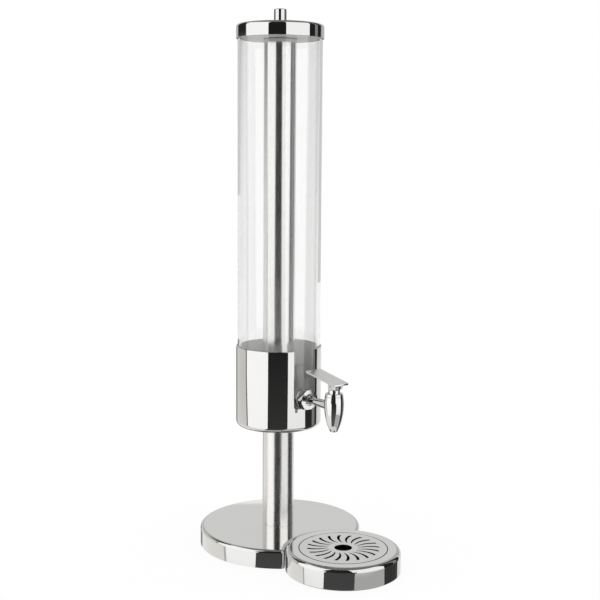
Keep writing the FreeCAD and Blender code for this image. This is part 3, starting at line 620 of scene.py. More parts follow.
@dataclass(frozen=True)
class Metal:
    """A bare metal surface: its reflectance, its polish and the marks of its working."""

    name: str
    colour: tuple[float, float, float]
    roughness: float
    grain: Grain = Grain.NONE
    grain_depth: float = 0.0
    grains_per_metre: float = 2500.0
    waviness: float = 0.0
    handling: float = 0.25
    drawn_out: float = 0.0
    bare: float = 1.0
    smears: tuple[float, float, float] = (26.0, 26.0, 14.0)
    smear_shade: float = 0.975
    smear_range: tuple[float, float] = (0.45, 0.75)
    waves: tuple[float, float, float] = (18.0, 18.0, 9.0)
    line_stretch: float = 60.0

    def material(self) -> bpy.types.Material:
        """Build the material: handled patches, worked lines and the sheet's slow waves.

        Returns:
            The material.
        """
        recipe = Recipe(self.name)
        recipe.shader.inputs["Metallic"].default_value = self.bare
        if self.drawn_out:
            recipe.shader.inputs["Anisotropic"].default_value = self.drawn_out
            recipe.shader.inputs["Anisotropic Rotation"].default_value = ALONG_THE_TUBE
            tangent = recipe.node("ShaderNodeTangent", direction_type="RADIAL", axis="Z")
            recipe.link(tangent.outputs[0], recipe.shader.inputs["Tangent"])
        smears = recipe.noise(self.smears, detail=5.0)
        dark = [part * self.smear_shade for part in self.colour]
        recipe.tint(recipe.spread(smears, 0.0, 1.0), dark, self.colour)
        high = self.roughness * (1.0 + self.handling)
        rough = recipe.spread(smears, self.roughness, high, *self.smear_range)
        recipe.link(rough, recipe.shader.inputs["Roughness"])
        layers = []
        if self.grain is not Grain.NONE:
            layers.append((self._lines(recipe), self.grain_depth))
        if self.waviness:
            layers.append((recipe.noise(self.waves, detail=0.0), self.waviness))
        if layers:
            recipe.relief(*layers)
        return recipe.material

    def _lines(self, recipe: Recipe) -> bpy.types.NodeSocket:
        """Make the pattern of the worked lines.

        Args:
            recipe: the material under construction.

        Returns:
            The pattern's value.
        """
        fine = self.grains_per_metre
        if self.grain is Grain.ROUND:
            return recipe.noise((fine, 1.0, fine), detail=2.0, around=True)
        return recipe.noise((fine / self.line_stretch, fine, fine), detail=2.0)


@dataclass(frozen=True)
class Moulded:
    """A moulded plastic or rubber surface: its colour, its grain and its sheen."""

    name: str
    colour: tuple[float, float, float]
    roughness: float
    grain_depth: float
    grains_per_metre: float
    variation: float = 0.12
    clouds: tuple[float, float, float] = (55.0, 55.0, 55.0)
    unevenness: tuple[float, float] = (0.85, 1.1)

    def material(self) -> bpy.types.Material:
        """Build the material: a pebbled skin with slightly uneven colour.

        Returns:
            The material.
        """
        recipe = Recipe(self.name)
        cloud = recipe.noise(self.clouds, detail=4.0)
        dark = [part * (1.0 - self.variation) for part in self.colour]
        recipe.tint(recipe.spread(cloud, 0.0, 1.0), dark, self.colour)
        skin = recipe.noise((self.grains_per_metre,) * 3, detail=2.0)
        rough = recipe.spread(skin, *(self.roughness * share for share in self.unevenness))
        recipe.link(rough, recipe.shader.inputs["Roughness"])
        recipe.relief((skin, self.grain_depth))
        return recipe.material


@dataclass(frozen=True)
class Clear:
    """A clear plastic: how much each surface passes, and the faint marks in it."""

    name: str
    passes: tuple[float, float, float]
    roughness: float
    index: float
    mark_depth: float
    marks: tuple[float, float, float]
    clouds: tuple[float, float, float] = (30.0, 30.0, 6.0)
    cloud_shade: float = 0.994

    def material(self) -> bpy.types.Material:
        """Build the material: a clear body with faint clouds and marks.

        Returns:
            The material.
        """
        recipe = Recipe(self.name)
        recipe.shader.inputs["Transmission Weight"].default_value = 1.0
        recipe.shader.inputs["IOR"].default_value = self.index
        recipe.shader.inputs["Roughness"].default_value = self.roughness
        cloud = recipe.noise(self.clouds, detail=3.0)
        dull = [part * self.cloud_shade for part in self.passes]
        recipe.tint(recipe.spread(cloud, 0.0, 1.0), dull, self.passes)
        recipe.relief((recipe.noise(self.marks, detail=1.0), self.mark_depth))
        return recipe.material


STEEL_COLOUR = (0.575, 0.572, 0.562)
MIRROR_SHEET = Metal("mirror_sheet", STEEL_COLOUR, 0.035, Grain.ROUND, 1.2e-7, 1800.0, 1.0e-6)
COLUMN_TUBE = Metal("column_tube_steel", (0.655, 0.652, 0.641), 0.27, Grain.ROUND, 1.0e-7, 2200.0,
                    drawn_out=0.75)
ICE_TUBE = Metal("ice_tube_steel", (0.79, 0.786, 0.773), 0.22, Grain.ROUND, 1.0e-7, 2200.0,
                 drawn_out=0.65)
# The level tops take a lighter copy of the mirror steel with nearly the same polish: the lighter colour is
# painted light, since tops and sides are one sheet.
LIT_TOP_SHEET = Metal("top_sheet_painted_light", (0.9, 0.896, 0.884), 0.03, Grain.ROUND, 2.0e-7, 1800.0, 1.0e-6)
SATIN_PLATE = Metal("satin_plate", (0.84, 0.84, 0.83), 0.25, Grain.LEVEL, 1.0e-6, 2600.0)
CUP_INSIDE = Metal("cup_inside", (0.93, 0.93, 0.92), 0.5, Grain.ROUND, 1.5e-6, 2200.0, bare=0.2)
# The bowl's near-black colour is painted shade: the bowl is sheet steel, which looks dark under the grate
# only because it lies in shade.
BOWL_PAINTED_SHADE = Metal("bowl_sheet", (0.09, 0.09, 0.088), 0.4, Grain.ROUND, 2.0e-6, 2200.0)
BRUSHED_DISC = Metal("brushed_disc", (0.88, 0.877, 0.866), 0.16, Grain.ROUND, 1.0e-6, 2600.0)
ROLLED_SHEET = Metal("rolled_sheet", (0.5, 0.5, 0.49), 0.3, Grain.LEVEL, 2.0e-6, 2200.0)
TAP_CHROME = Metal("tap_chrome_plate", (0.61, 0.61, 0.605), 0.04, Grain.NONE, 0.0, 0.0, 4.0e-7)
TURNED_STEEL = Metal("turned_steel", (0.5, 0.5, 0.495), 0.22, Grain.ROUND, 1.0e-6, 4200.0)
CAST_IRON = Metal("cast_weight", (0.1, 0.1, 0.1), 0.6, Grain.LEVEL, 8.0e-5, 900.0)
TURNED_BRASS = Metal("turned_brass", (0.7, 0.52, 0.24), 0.2, Grain.ROUND, 1.0e-6, 4200.0)
RUBBER = Moulded("moulded_rubber", (0.028, 0.028, 0.029), 0.62, 1.2e-5, 3200.0)
GREY_MOULDING = Moulded("grey_moulding", (0.42, 0.42, 0.41), 0.38, 6.0e-6, 2600.0, 0.06)
SILICONE = Moulded("silicone_ring", (0.72, 0.72, 0.69), 0.35, 4.0e-6, 2400.0, 0.05)
TANK_ACRYLIC = Clear("tank_acrylic", (0.939, 0.941, 0.939), 0.0, 1.49, 2.0e-6, (90.0, 90.0, 3.0))
FLOOR_ACRYLIC = Clear("floor_acrylic", (0.95, 0.955, 0.955), 0.03, 1.49, 4.0e-6, (60.0, 60.0, 60.0))

Finish = Metal | Moulded | Clear
SLOT_FINISH: dict[str, Finish] = {
    "polished_steel": MIRROR_SHEET,
    "satin_steel": BRUSHED_DISC,
    "sheet_steel": ROLLED_SHEET,
    "tap_chrome": TAP_CHROME,
    "fastener_steel": TURNED_STEEL,
    "weight_iron": CAST_IRON,
    "valve_brass": TURNED_BRASS,
    "black_rubber": RUBBER,
    "grey_plastic": GREY_MOULDING,
    "clear_tank": TANK_ACRYLIC,
    "clear_floor": FLOOR_ACRYLIC,
    "clear_seal": SILICONE,
}


class Wardrobe:
    """The materials made so far, one for each finish."""

    def __init__(self) -> None:
        """Start with no material made."""
        self.made: dict[str, bpy.types.Material] = {}

    def get(self, finish: Finish) -> bpy.types.Material:
        """Return a finish's material, built the first time that it is asked for.

        Args:
            finish: the finish.

        Returns:
            Its material.
        """
        if finish.name not in self.made:
            self.made[finish.name] = finish.material()
        return self.made[finish.name]


@dataclass
class Assembly:
    """What all the sub-assemblies share: the body that they ride on and their materials."""

    body: str
    wardrobe: Wardrobe

    def dress(self, piece: bpy.types.Object, slot: str, *nodes: str, finish: Finish | None = None) -> None:
        """Finish a piece, fix it to the body and let it stand for nodes of the frame.

        Args:
            piece: the modelled object.
            slot: the record's material slot that it takes its finish from.
            *nodes: the nodes that it stands for.
            finish: its finish, where it isn't the slot's usual one.
        """
        smooth(piece)
        piece.data.materials.clear()
        piece.data.materials.append(self.wardrobe.get(finish or SLOT_FINISH[slot]))
        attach(piece, self.body)
        if nodes:
            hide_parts(*nodes)
        LOG.info("%s: %s, %d faces", self.body, piece.name, len(piece.data.polygons))

    def refinish(self, piece: bpy.types.Object, finish: Finish,
                 test: Callable[[bpy.types.MeshPolygon], bool]) -> None:
        """Give some faces of a dressed piece a finish of their own.

        Args:
            piece: the dressed object.
            finish: the finish of the picked faces.
            test: says whether a face is picked.
        """
        piece.data.materials.append(self.wardrobe.get(finish))
        for face in piece.data.polygons:
            if test(face):
                face.material_index = 1


# ---------------------------------------------------------------- stand


@dataclass
class Stand(Assembly):
    """The base's cover, the column and the cup."""

    cover_rounding: float = 0.0042
    crease_rounding: float = 0.005
    cover_sheet: float = 0.0012
    tray_gap: float = 0.0005
    column_wall: float = 0.0015
    tube_edge: float = 0.0003
    cup_sheet: float = 0.0015
    cup_rounding: float = 0.007
    rim_rounding: float = 0.0006
    slot_half_width: float = 0.0162
    slot_sill: float = 0.0316
    slot_rounding: float = 0.0035
    slot_steps: int = 10
    slot_edge: float = 0.0003

    def build(self) -> None:
        """Model and dress the stand's visible pieces."""
        self._cover()
        self._column()
        self._cup()

    def _cover(self) -> None:
        """The drawn cover: a disc bitten out for the tray, rounded along its top and hollow below."""
        base, tray = Place.of("base_shell"), Place.of("tray_shell")
        outline = self._bitten_disc(base, tray, tray.radius + self.tray_gap)
        foot, rise = Z_AXIS * base.foot, Z_AXIS * base.height
        cover = slab("base_cover", outline, foot, X_AXIS, Y_AXIS, rise)
        bevel_where(cover, self.cover_rounding, BEND_STEPS, lambda edge: lies_at(edge, base.top))
        pick(cover, "FACE", lambda face: lies_at(face, base.foot))
        bpy.ops.mesh.delete(type="FACE")
        bpy.ops.object.mode_set(mode="OBJECT")
        apply_modifier(cover, "SOLIDIFY", thickness=self.cover_sheet, offset=-1.0, use_even_offset=True)
        self.dress(cover, "polished_steel", "base_shell")
        # The level top takes the lighter copy of the steel, which is painted light.
        self.refinish(cover, LIT_TOP_SHEET, lambda face: face.normal.z > LEVEL_FACE)

    def _bitten_disc(self, base: Place, tray: Place, bite: float) -> list[Vector]:
        """Draw the base's outline: a bitten disc, with a rounded crease where disc and bite meet.

        Args:
            base: the disc.
            tray: the drip tray in front of it.
            bite: the radius of the hollow that the tray stands in.

        Returns:
            The outline's points, seen from above.
        """
        crease, steps = self.crease_rounding, BEND_STEPS * 2
        disc_reach, bite_reach, gap = base.radius - crease, bite + crease, base.y - tray.y
        along = (disc_reach ** 2 - bite_reach ** 2 + gap ** 2) / (2 * gap)
        x, y = math.sqrt(disc_reach ** 2 - along ** 2), base.y - along
        from_disc = math.degrees(math.atan2(y - base.y, x))
        from_tray = math.degrees(math.atan2(y - tray.y, x))
        corners = arc((0.0, base.y), base.radius, from_disc, 180.0 - from_disc, ROUND_STEPS)
        corners += arc((-x, y), crease, 180.0 - from_disc, 360.0 - from_tray, steps)
        corners += arc((0.0, tray.y), bite, 180.0 - from_tray, from_tray, SMALL_ROUND_STEPS)
        corners += arc((x, y), crease, from_tray - 180.0, from_disc, steps)
        points = [Vector(corner[:2]) for corner in corners]
        pairs = zip(points, points[-1:] + points)
        return [point for point, before in pairs if (point - before).length > WELD]

    def _column(self) -> None:
        """The polished column tube, with the edges of its ends broken."""
        tube = Place.of("column_tube")
        bore = tube.radius - self.column_wall
        section = sleeve(bore, tube.radius, tube.foot, tube.top, self.tube_edge)
        pipe = turn("column_pipe", section, True, tube.axis_foot, bend_steps=2)
        self.dress(pipe, "polished_steel", "column_tube", finish=COLUMN_TUBE)

    def _cup(self) -> None:
        """The drawn cup, with the slot that the tap lifts out through."""
        cup = Place.of("cup")
        bore, floor = cup.radius - self.cup_sheet, cup.foot + self.cup_sheet
        inner = self.cup_rounding - self.cup_sheet
        section = [(0.0, cup.foot, 0.0), (cup.radius, cup.foot, self.cup_rounding)]
        section += [(cup.radius, cup.top, self.rim_rounding), (bore, cup.top, self.rim_rounding)]
        section += [(bore, floor, inner), (0.0, floor, 0.0)]
        drawn = turn("drawn_cup", section, False, cup.axis_foot, bend_steps=8)

        half, sill, over = self.slot_half_width, cup.foot + self.slot_sill, cup.top + OVERCUT
        corners = [(-half, over, 0.0), (half, over, 0.0)]
        corners += [(half, sill, self.slot_rounding), (-half, sill, self.slot_rounding)]
        outline = rounded(corners, True, self.slot_steps)
        depth = -Y_AXIS * (cup.radius + OVERCUT)
        combine(drawn, slab("slot_cutter", outline, ORIGIN, X_AXIS, Z_AXIS, depth))
        break_edges(drawn, self.slot_edge)
        self.dress(drawn, "polished_steel", "cup")

        def on_inner_wall(face: bpy.types.MeshPolygon) -> bool:
            """Tell whether a face is on the cup's inner wall."""
            across = face.center.xy
            return across.length < bore + WELD and face.normal.xy.dot(across) < 0.0

        self.refinish(drawn, CUP_INSIDE, on_inner_wall)


# ---------------------------------------------------------------- tank


@dataclass
class Tank(Assembly):
    """The clear tube and its glued floor."""

    wall: float = 0.003
    edge: float = 0.0005
    hole_radius: float = 0.0068
    hole_margin: float = 0.012
    ring_fit: float = 0.0004
    ring_wall: float = 0.0025
    floor_thickness: float = 0.005
    floor_edge: float = 0.0004

    def build(self) -> None:
        """Model and dress the tank's visible pieces."""
        self._tube()
        self._floor()

    def _tube(self) -> None:
        """The clear tube, with the edges of its ends broken and a hole for the tap."""
        tube, tap = Place.of("tank_tube"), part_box("union_nut")
        bore = tube.radius - self.wall
        tap_level = (tap[0].z + tap[1].z) / 2
        low, high = tap_level - self.hole_margin, tap_level + self.hole_margin
        section = [(bore, tube.foot, self.edge), (tube.radius, tube.foot, self.edge)]
        section += [(tube.radius, low, 0.0), (tube.radius, high, 0.0)]
        section += [(tube.radius, tube.top, self.edge), (bore, tube.top, self.edge)]
        section += [(bore, high, 0.0), (bore, low, 0.0)]
        clear = turn("clear_tube", section, True, tube.axis_foot, bend_steps=3)
        drill = (self.hole_radius, tube.radius + OVERCUT)
        combine(clear, forward_rod("tap_drill", tap_level, bore - OVERCUT, drill))
        self._dress_clear(clear, "clear_tank", "tank_tube")

    def _floor(self) -> None:
        """The clear floor, with the raised ring that keeps the ice tube upright."""
        floor, ice = Place.of("tank_floor"), Place.of("ice_tube")
        top, edge = floor.foot + self.floor_thickness, self.floor_edge
        ring = ice.radius + self.ring_fit
        section = [(0.0, floor.foot, 0.0), (floor.radius, floor.foot, edge), (floor.radius, top, edge)]
        section += [(ring + self.ring_wall, top, edge), (ring + self.ring_wall, floor.top, edge)]
        section += [(ring, floor.top, edge), (ring, top, edge), (0.0, top, 0.0)]
        disc = turn("clear_floor_disc", section, False, floor.axis_foot, bend_steps=3)
        self._dress_clear(disc, "clear_floor", "tank_floor")

    def _dress_clear(self, piece: bpy.types.Object, slot: str, node: str) -> None:
        """Dress a clear piece and hide it from the light that dull surfaces throw back.

        That light doesn't come out again through clear plastic, so the cup's inner wall, which
        stands behind both pieces, would stay dark.

        Args:
            piece: the modelled object.
            slot: the record's material slot.
            node: the node that it stands for.
        """
        self.dress(piece, slot, node)
        piece.visible_diffuse = False


# ---------------------------------------------------------------- tap


@dataclass
class Tap(Assembly):
    """The tap's casting and cap, and the nuts that hold it in the tank's wall."""

    belly_radius: float = 0.0128
    belly_rise: float = 0.003
    upper_curve: float = 0.06
    lower_curve: float = 0.08
    curve_steps: int = 14
    chamber_radius: float = 0.008
    seat_drop: float = 0.014
    nozzle_bore: float = 0.0032
    lip: float = 0.0005
    rim_edge: float = 0.00035
    cap_thickness: float = 0.0035
    cap_plug_depth: float = 0.008
    cap_plug_fit: float = 0.0001
    cap_steps: int = 3
    boss_radius: float = 0.0075
    stem_hole: float = 0.00256
    shank_start: float = 0.0095
    root_radius: float = 0.0062
    neck_radius: float = 0.004
    bead_radius: float = 0.0047
    bead_width: float = 0.0016
    bead_rounding: float = 0.0004
    neck_rounding: float = 0.0003
    shank_bore: float = 0.003
    tail_radius: float = 0.0065
    thread_pitch: float = 0.001
    thread_depth: float = 0.0005
    thread_start: float = 0.25
    nut_recess_radius: float = 0.00825
    nut_recess_depth: float = 0.0063
    nut_trims: tuple[float, float] = (0.0004, 0.0018)
    back_nut_trims: tuple[float, float] = (0.0009, 0.0009)
    nut_edge: float = 0.0004
    nut_edges_over: float = 25.0
    level: float = field(init=False)
    nut_front: float = field(init=False)
    nut_back: float = field(init=False)
    barrel: Vector = field(init=False)
    rim: float = field(init=False)
    drop: float = field(init=False)

    def build(self) -> None:
        """Model and dress the tap's visible pieces."""
        low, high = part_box("union_nut")
        self.level = (low.z + high.z) / 2
        self.nut_front, self.nut_back = -low.y, -high.y
        bonnet = Place.of("tap_bonnet")
        self.barrel = Vector((bonnet.x, bonnet.y, self.level))
        low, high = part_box("tap_body")
        self.rim, self.drop = high.z - self.level, self.level - low.z
        self._casting()
        self._cap()
        self._nuts()

    def _barrel_radius(self, height: float) -> float:
        """Return the barrel's radius at a height over the tap's own level."""
        curve = self.upper_curve if height > self.belly_rise else self.lower_curve
        return self.belly_radius - curve + math.sqrt(curve ** 2 - (height - self.belly_rise) ** 2)

    def _barrel_side(self, first: float, last: float, steps: int) -> list[Corner]:
        """List the corners of the barrel's bulging side between two heights."""
        heights = [first + (last - first) * step / steps for step in range(steps + 1)]
        return [(self._barrel_radius(height), height, 0.0) for height in heights]

    def _casting(self) -> None:
        """The barrel with its nozzle and chamber, and the shank with its bead and threaded tail."""
        section = [(self.nozzle_bore, -self.drop, self.lip)]
        section += [(self._barrel_radius(-self.drop), -self.drop, self.lip)]
        section += self._barrel_side(self.lip - self.drop, self.rim - self.rim_edge, self.curve_steps * 2)
        section += [(self._barrel_radius(self.rim) - self.rim_edge, self.rim, 0.0)]
        section += [(self.chamber_radius, self.rim, 0.0), (self.chamber_radius, -self.seat_drop, 0.0)]
        section += [(self.nozzle_bore, -self.seat_drop, 0.0)]
        casting = turn("tap_casting", section, True, self.barrel, steps=SMALL_ROUND_STEPS, bend_steps=3)
        combine(casting, self._shank(), "UNION")
        self.dress(casting, "tap_chrome", "tap_body")

    def _shank(self) -> bpy.types.Object:
        """Turn the shank about the tap's level axis, with places measured back from the barrel.

        Returns:
            The shank.
        """
        reach = -self.barrel.y
        face = reach - self.nut_front
        tail = face + self.nut_recess_depth
        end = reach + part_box("tap_body")[1].y
        bead = self.bead_width
        section = [(self.shank_bore, self.shank_start, 0.0), (self.root_radius, self.shank_start, 0.0)]
        section += [(self.neck_radius, face - bead, self.neck_rounding), (self.neck_radius, face, 0.0)]
        section += [(self.bead_radius, face, self.bead_rounding)]
        section += [(self.bead_radius, face + bead, self.bead_rounding)]
        section += [(self.neck_radius, face + bead, 0.0), (self.neck_radius, tail, 0.0)]
        section += [(self.tail_radius - self.thread_depth, tail, 0.0)]
        turns = int((end - tail) / self.thread_pitch)
        for number in range(turns):
            start = tail + self.thread_pitch * (number + self.thread_start)
            section += [(self.tail_radius, start, 0.0)]
            section += [(self.tail_radius - self.thread_depth, start + self.thread_pitch / 2, 0.0)]
        section += [(self.tail_radius - self.thread_depth, end, 0.0), (self.shank_bore, end, 0.0)]
        return turn("shank", section, True, self.barrel, Y_AXIS, Z_AXIS, SMALL_ROUND_STEPS, bend_steps=3)

    def _cap(self) -> None:
        """The screwed cap that closes the barrel, with the boss that guides the stem."""
        flange, top = self.rim + self.cap_thickness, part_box("tap_bonnet")[1].z - self.level
        plug, fit = self.rim - self.cap_plug_depth, self.chamber_radius - self.cap_plug_fit
        edge = self.rim_edge
        section = [(self.stem_hole, plug, 0.0), (fit, plug, 0.0), (fit, self.rim, 0.0)]
        section += [(self._barrel_radius(self.rim) - edge, self.rim, 0.0)]
        section += self._barrel_side(self.rim + edge, flange - edge, self.cap_steps)
        section += [(self._barrel_radius(flange) - edge, flange, 0.0), (self.boss_radius, flange, 0.0)]
        section += [(self.boss_radius, top, edge), (self.stem_hole, top, 0.0)]
        cap = turn("tap_cap", section, True, self.barrel, steps=SMALL_ROUND_STEPS, bend_steps=3)
        self.dress(cap, "tap_chrome", "tap_bonnet")

    def _hex(self, name: str, flats: float, back: float, front: float,
             trims: tuple[float, float]) -> bpy.types.Object:
        """Make a hexagon bar along the tap, with both ends chamfered.

        Args:
            name: the new object's name.
            flats: the width across the flats.
            back: the distance of its back end from the tower's axis.
            front: the distance of its front end.
            trims: how deep the corners are chamfered at the back and at the front.

        Returns:
            The chamfered bar.
        """
        corner = flats / math.sqrt(3.0)
        behind, before = trims
        corners = arc((0.0, 0.0), corner, 0.0, 360.0, HEX_SIDES)[:-1]
        outline = [Vector(point[:2]) for point in corners]
        origin = Vector((0.0, -back, self.level))
        bar = slab(name, outline, origin, X_AXIS, Z_AXIS, -Y_AXIS * (front - back))
        cone = [(0.0, back, 0.0), (corner - behind, back, 0.0), (corner + behind, back + behind, 0.0)]
        cone += [(corner + before, front - before, 0.0), (corner - before, front, 0.0), (0.0, front, 0.0)]
        trim = turn("hex_trim", cone, False, Z_AXIS * self.level, -Y_AXIS, steps=SMALL_ROUND_STEPS)
        combine(bar, trim, "INTERSECT")
        return bar

    def _nuts(self) -> None:
        """The clamp nut with its deep round recess, and the back nut inside the tank."""
        low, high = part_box("union_nut")
        nut = self._hex("clamp_nut", high.z - low.z, self.nut_back, self.nut_front, self.nut_trims)
        bore = (self.tail_radius, self.nut_front - self.nut_recess_depth)
        recess = (self.nut_recess_radius, self.nut_front + OVERCUT)
        combine(nut, forward_rod("recess", self.level, self.nut_back - OVERCUT, bore, recess))
        break_edges(nut, self.nut_edge, self.nut_edges_over)
        self.dress(nut, "tap_chrome", "union_nut")

        low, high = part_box("lock_nut")
        lock = self._hex("back_nut", high.z - low.z, -high.y, -low.y, self.back_nut_trims)
        bore = (self.tail_radius, OVERCUT - low.y)
        combine(lock, forward_rod("back_hole", self.level, -high.y - OVERCUT, bore))
        break_edges(lock, self.nut_edge / 2, self.nut_edges_over)
        self.dress(lock, "fastener_steel", "lock_nut")


@dataclass
class Lever(Assembly):
    """The lever's sloping plate on its two cheeks, and the pin that it turns on."""

    thickness: float = 0.0019
    rise: float = 0.0057
    fall: float = 0.0098
    corner: float = 0.002
    plate_edge: float = 0.0003
    cheek_width: float = 0.0142
    cheek_gap: float = 0.0102
    cheek_back: float = 0.0044
    cheek_front: float = 0.0073
    cheek_relief: float = 0.0015
    cam_reach: float = 0.00275
    cam_raise: float = 0.001
    cam_steps: int = 12
    pin_radius: float = 0.0015
    pin_chamfer: float = 0.0004
    pivot: Vector = field(init=False)
    half_length: float = field(init=False)

    def build(self) -> None:
        """Model and dress the lever and its pin."""
        low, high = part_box("pivot_pin")
        self.pivot = (low + high) / 2
        self.half_length = (high.x - low.x) / 2
        self._handle()
        self._pin()

    def _handle(self) -> None:
        """The plate and the cheeks, made as one piece."""
        low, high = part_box("lever")
        back, front, width = high.y - self.pivot.y, self.pivot.y - low.y, high.x - low.x
        slope = self.fall / (back + front)
        top_back, top_front = self.rise + slope * back, self.rise - slope * front
        corners = [(-front, top_front), (-front, top_front - self.thickness)]
        corners += [(back, top_back - self.thickness), (back, top_back)]
        outline = [Vector(corner) for corner in corners]
        side = self.pivot - X_AXIS * (width / 2)
        plate = slab("lever_handle", outline, side, Y_AXIS, Z_AXIS, X_AXIS * width)

        def at_plate_corner(edge: bmesh.types.BMEdge) -> bool:
            """Tell whether an edge is one of the plate's four upright corners."""
            middle = (edge.verts[0].co + edge.verts[1].co) / 2 - self.pivot
            return edge.calc_length() < self.thickness + WELD and abs(abs(middle.x) - width / 2) < WELD

        bevel_where(plate, self.corner, BEND_STEPS, at_plate_corner)
        for side_sign in (-1.0, 1.0):
            combine(plate, self._cheek(slope, low.z - self.pivot.z, side_sign), "UNION")
        break_edges(plate, self.plate_edge)
        self.dress(plate, "tap_chrome", "lever")
        self.refinish(plate, SATIN_PLATE, lambda face: face.normal.z > SLOPING_FACE)

    def _cheek(self, slope: float, foot: float, side: float) -> bpy.types.Object:
        """Make one cheek, whose underside is the cam.

        Args:
            slope: how steeply the plate rises towards the tower.
            foot: the height of its lowest point over the pivot.
            side: -1 for the cheek at -X and 1 for the one at +X.

        Returns:
            The cheek.
        """
        cam = self.cam_raise - foot
        under = self.rise - self.thickness / 2
        back, front = self.cheek_back, self.cheek_front
        cam_start = 180.0 + math.degrees(math.acos((front - self.cam_reach) / cam))
        corners = [(back - self.cheek_relief, foot, 0.0), (back, foot + self.cheek_relief, 0.0)]
        corners += [(back, under + slope * back, 0.0), (-front, under - slope * front, 0.0)]
        corners += arc((-self.cam_reach, self.cam_raise), cam, cam_start, 270.0, self.cam_steps)
        outline = [Vector(corner[:2]) for corner in corners]
        inner, outer = self.cheek_gap / 2, self.cheek_width / 2
        origin = self.pivot + X_AXIS * (side * inner)
        return slab("cheek", outline, origin, Y_AXIS, Z_AXIS, X_AXIS * (side * (outer - inner)))

    def _pin(self) -> None:
        """The pin, with chamfered ends."""
        radius, half, chamfer = self.pin_radius, self.half_length, self.pin_chamfer
        section = [(0.0, -half, 0.0), (radius - chamfer, -half, 0.0), (radius, chamfer - half, 0.0)]
        section += [(radius, half - chamfer, 0.0), (radius - chamfer, half, 0.0), (0.0, half, 0.0)]
        pin = turn("lever_pin", section, False, self.pivot, X_AXIS, Z_AXIS, SMALL_ROUND_STEPS // 2)
        self.dress(pin, "fastener_steel", "pivot_pin")


# ---------------------------------------------------------------- ice tube and lid


@dataclass
class IceTube(Assembly):
    """The steel tube for ice, its plug and its collar."""

    wall: float = 0.0012
    edge: float = 0.0003
    spigot_fit: float = 0.0001
    collar_wall: float = 0.002
    collar_height: float = 0.0045
    flange: float = 0.003

    def build(self) -> None:
        """Model and dress the three pieces."""
        tube, collar, foot = Place.of("ice_tube"), Place.of("ice_tube_collar"), Place.of("ice_tube_foot")
        bore, edge = tube.radius - self.wall, self.edge
        section = sleeve(bore, tube.radius, tube.foot, tube.top, edge)
        pipe = turn("cooling_tube", section, True, tube.axis_foot, bend_steps=2)
        self.dress(pipe, "polished_steel", "ice_tube", finish=ICE_TUBE)

        spigot = bore - self.spigot_fit
        mouth, step = spigot - self.collar_wall, collar.top - self.collar_height
        section = [(mouth, collar.foot, edge), (spigot, collar.foot, edge), (spigot, step, 0.0)]
        section += [(collar.radius, step, edge), (collar.radius, collar.top, edge * 3)]
        section += [(mouth, collar.top, edge * 3)]
        ring = turn("tube_collar", section, True, collar.axis_foot, bend_steps=4)
        self.dress(ring, "grey_plastic", "ice_tube_collar")

        flange = foot.foot + self.flange
        section = [(0.0, foot.foot, 0.0), (foot.radius, foot.foot, edge * 2), (foot.radius, flange, edge)]
        section += [(spigot, flange, 0.0), (spigot, foot.top, edge * 2), (0.0, foot.top, 0.0)]
        plug = turn("tube_plug", section, False, foot.axis_foot, bend_steps=4)
        self.dress(plug, "grey_plastic", "ice_tube_foot")


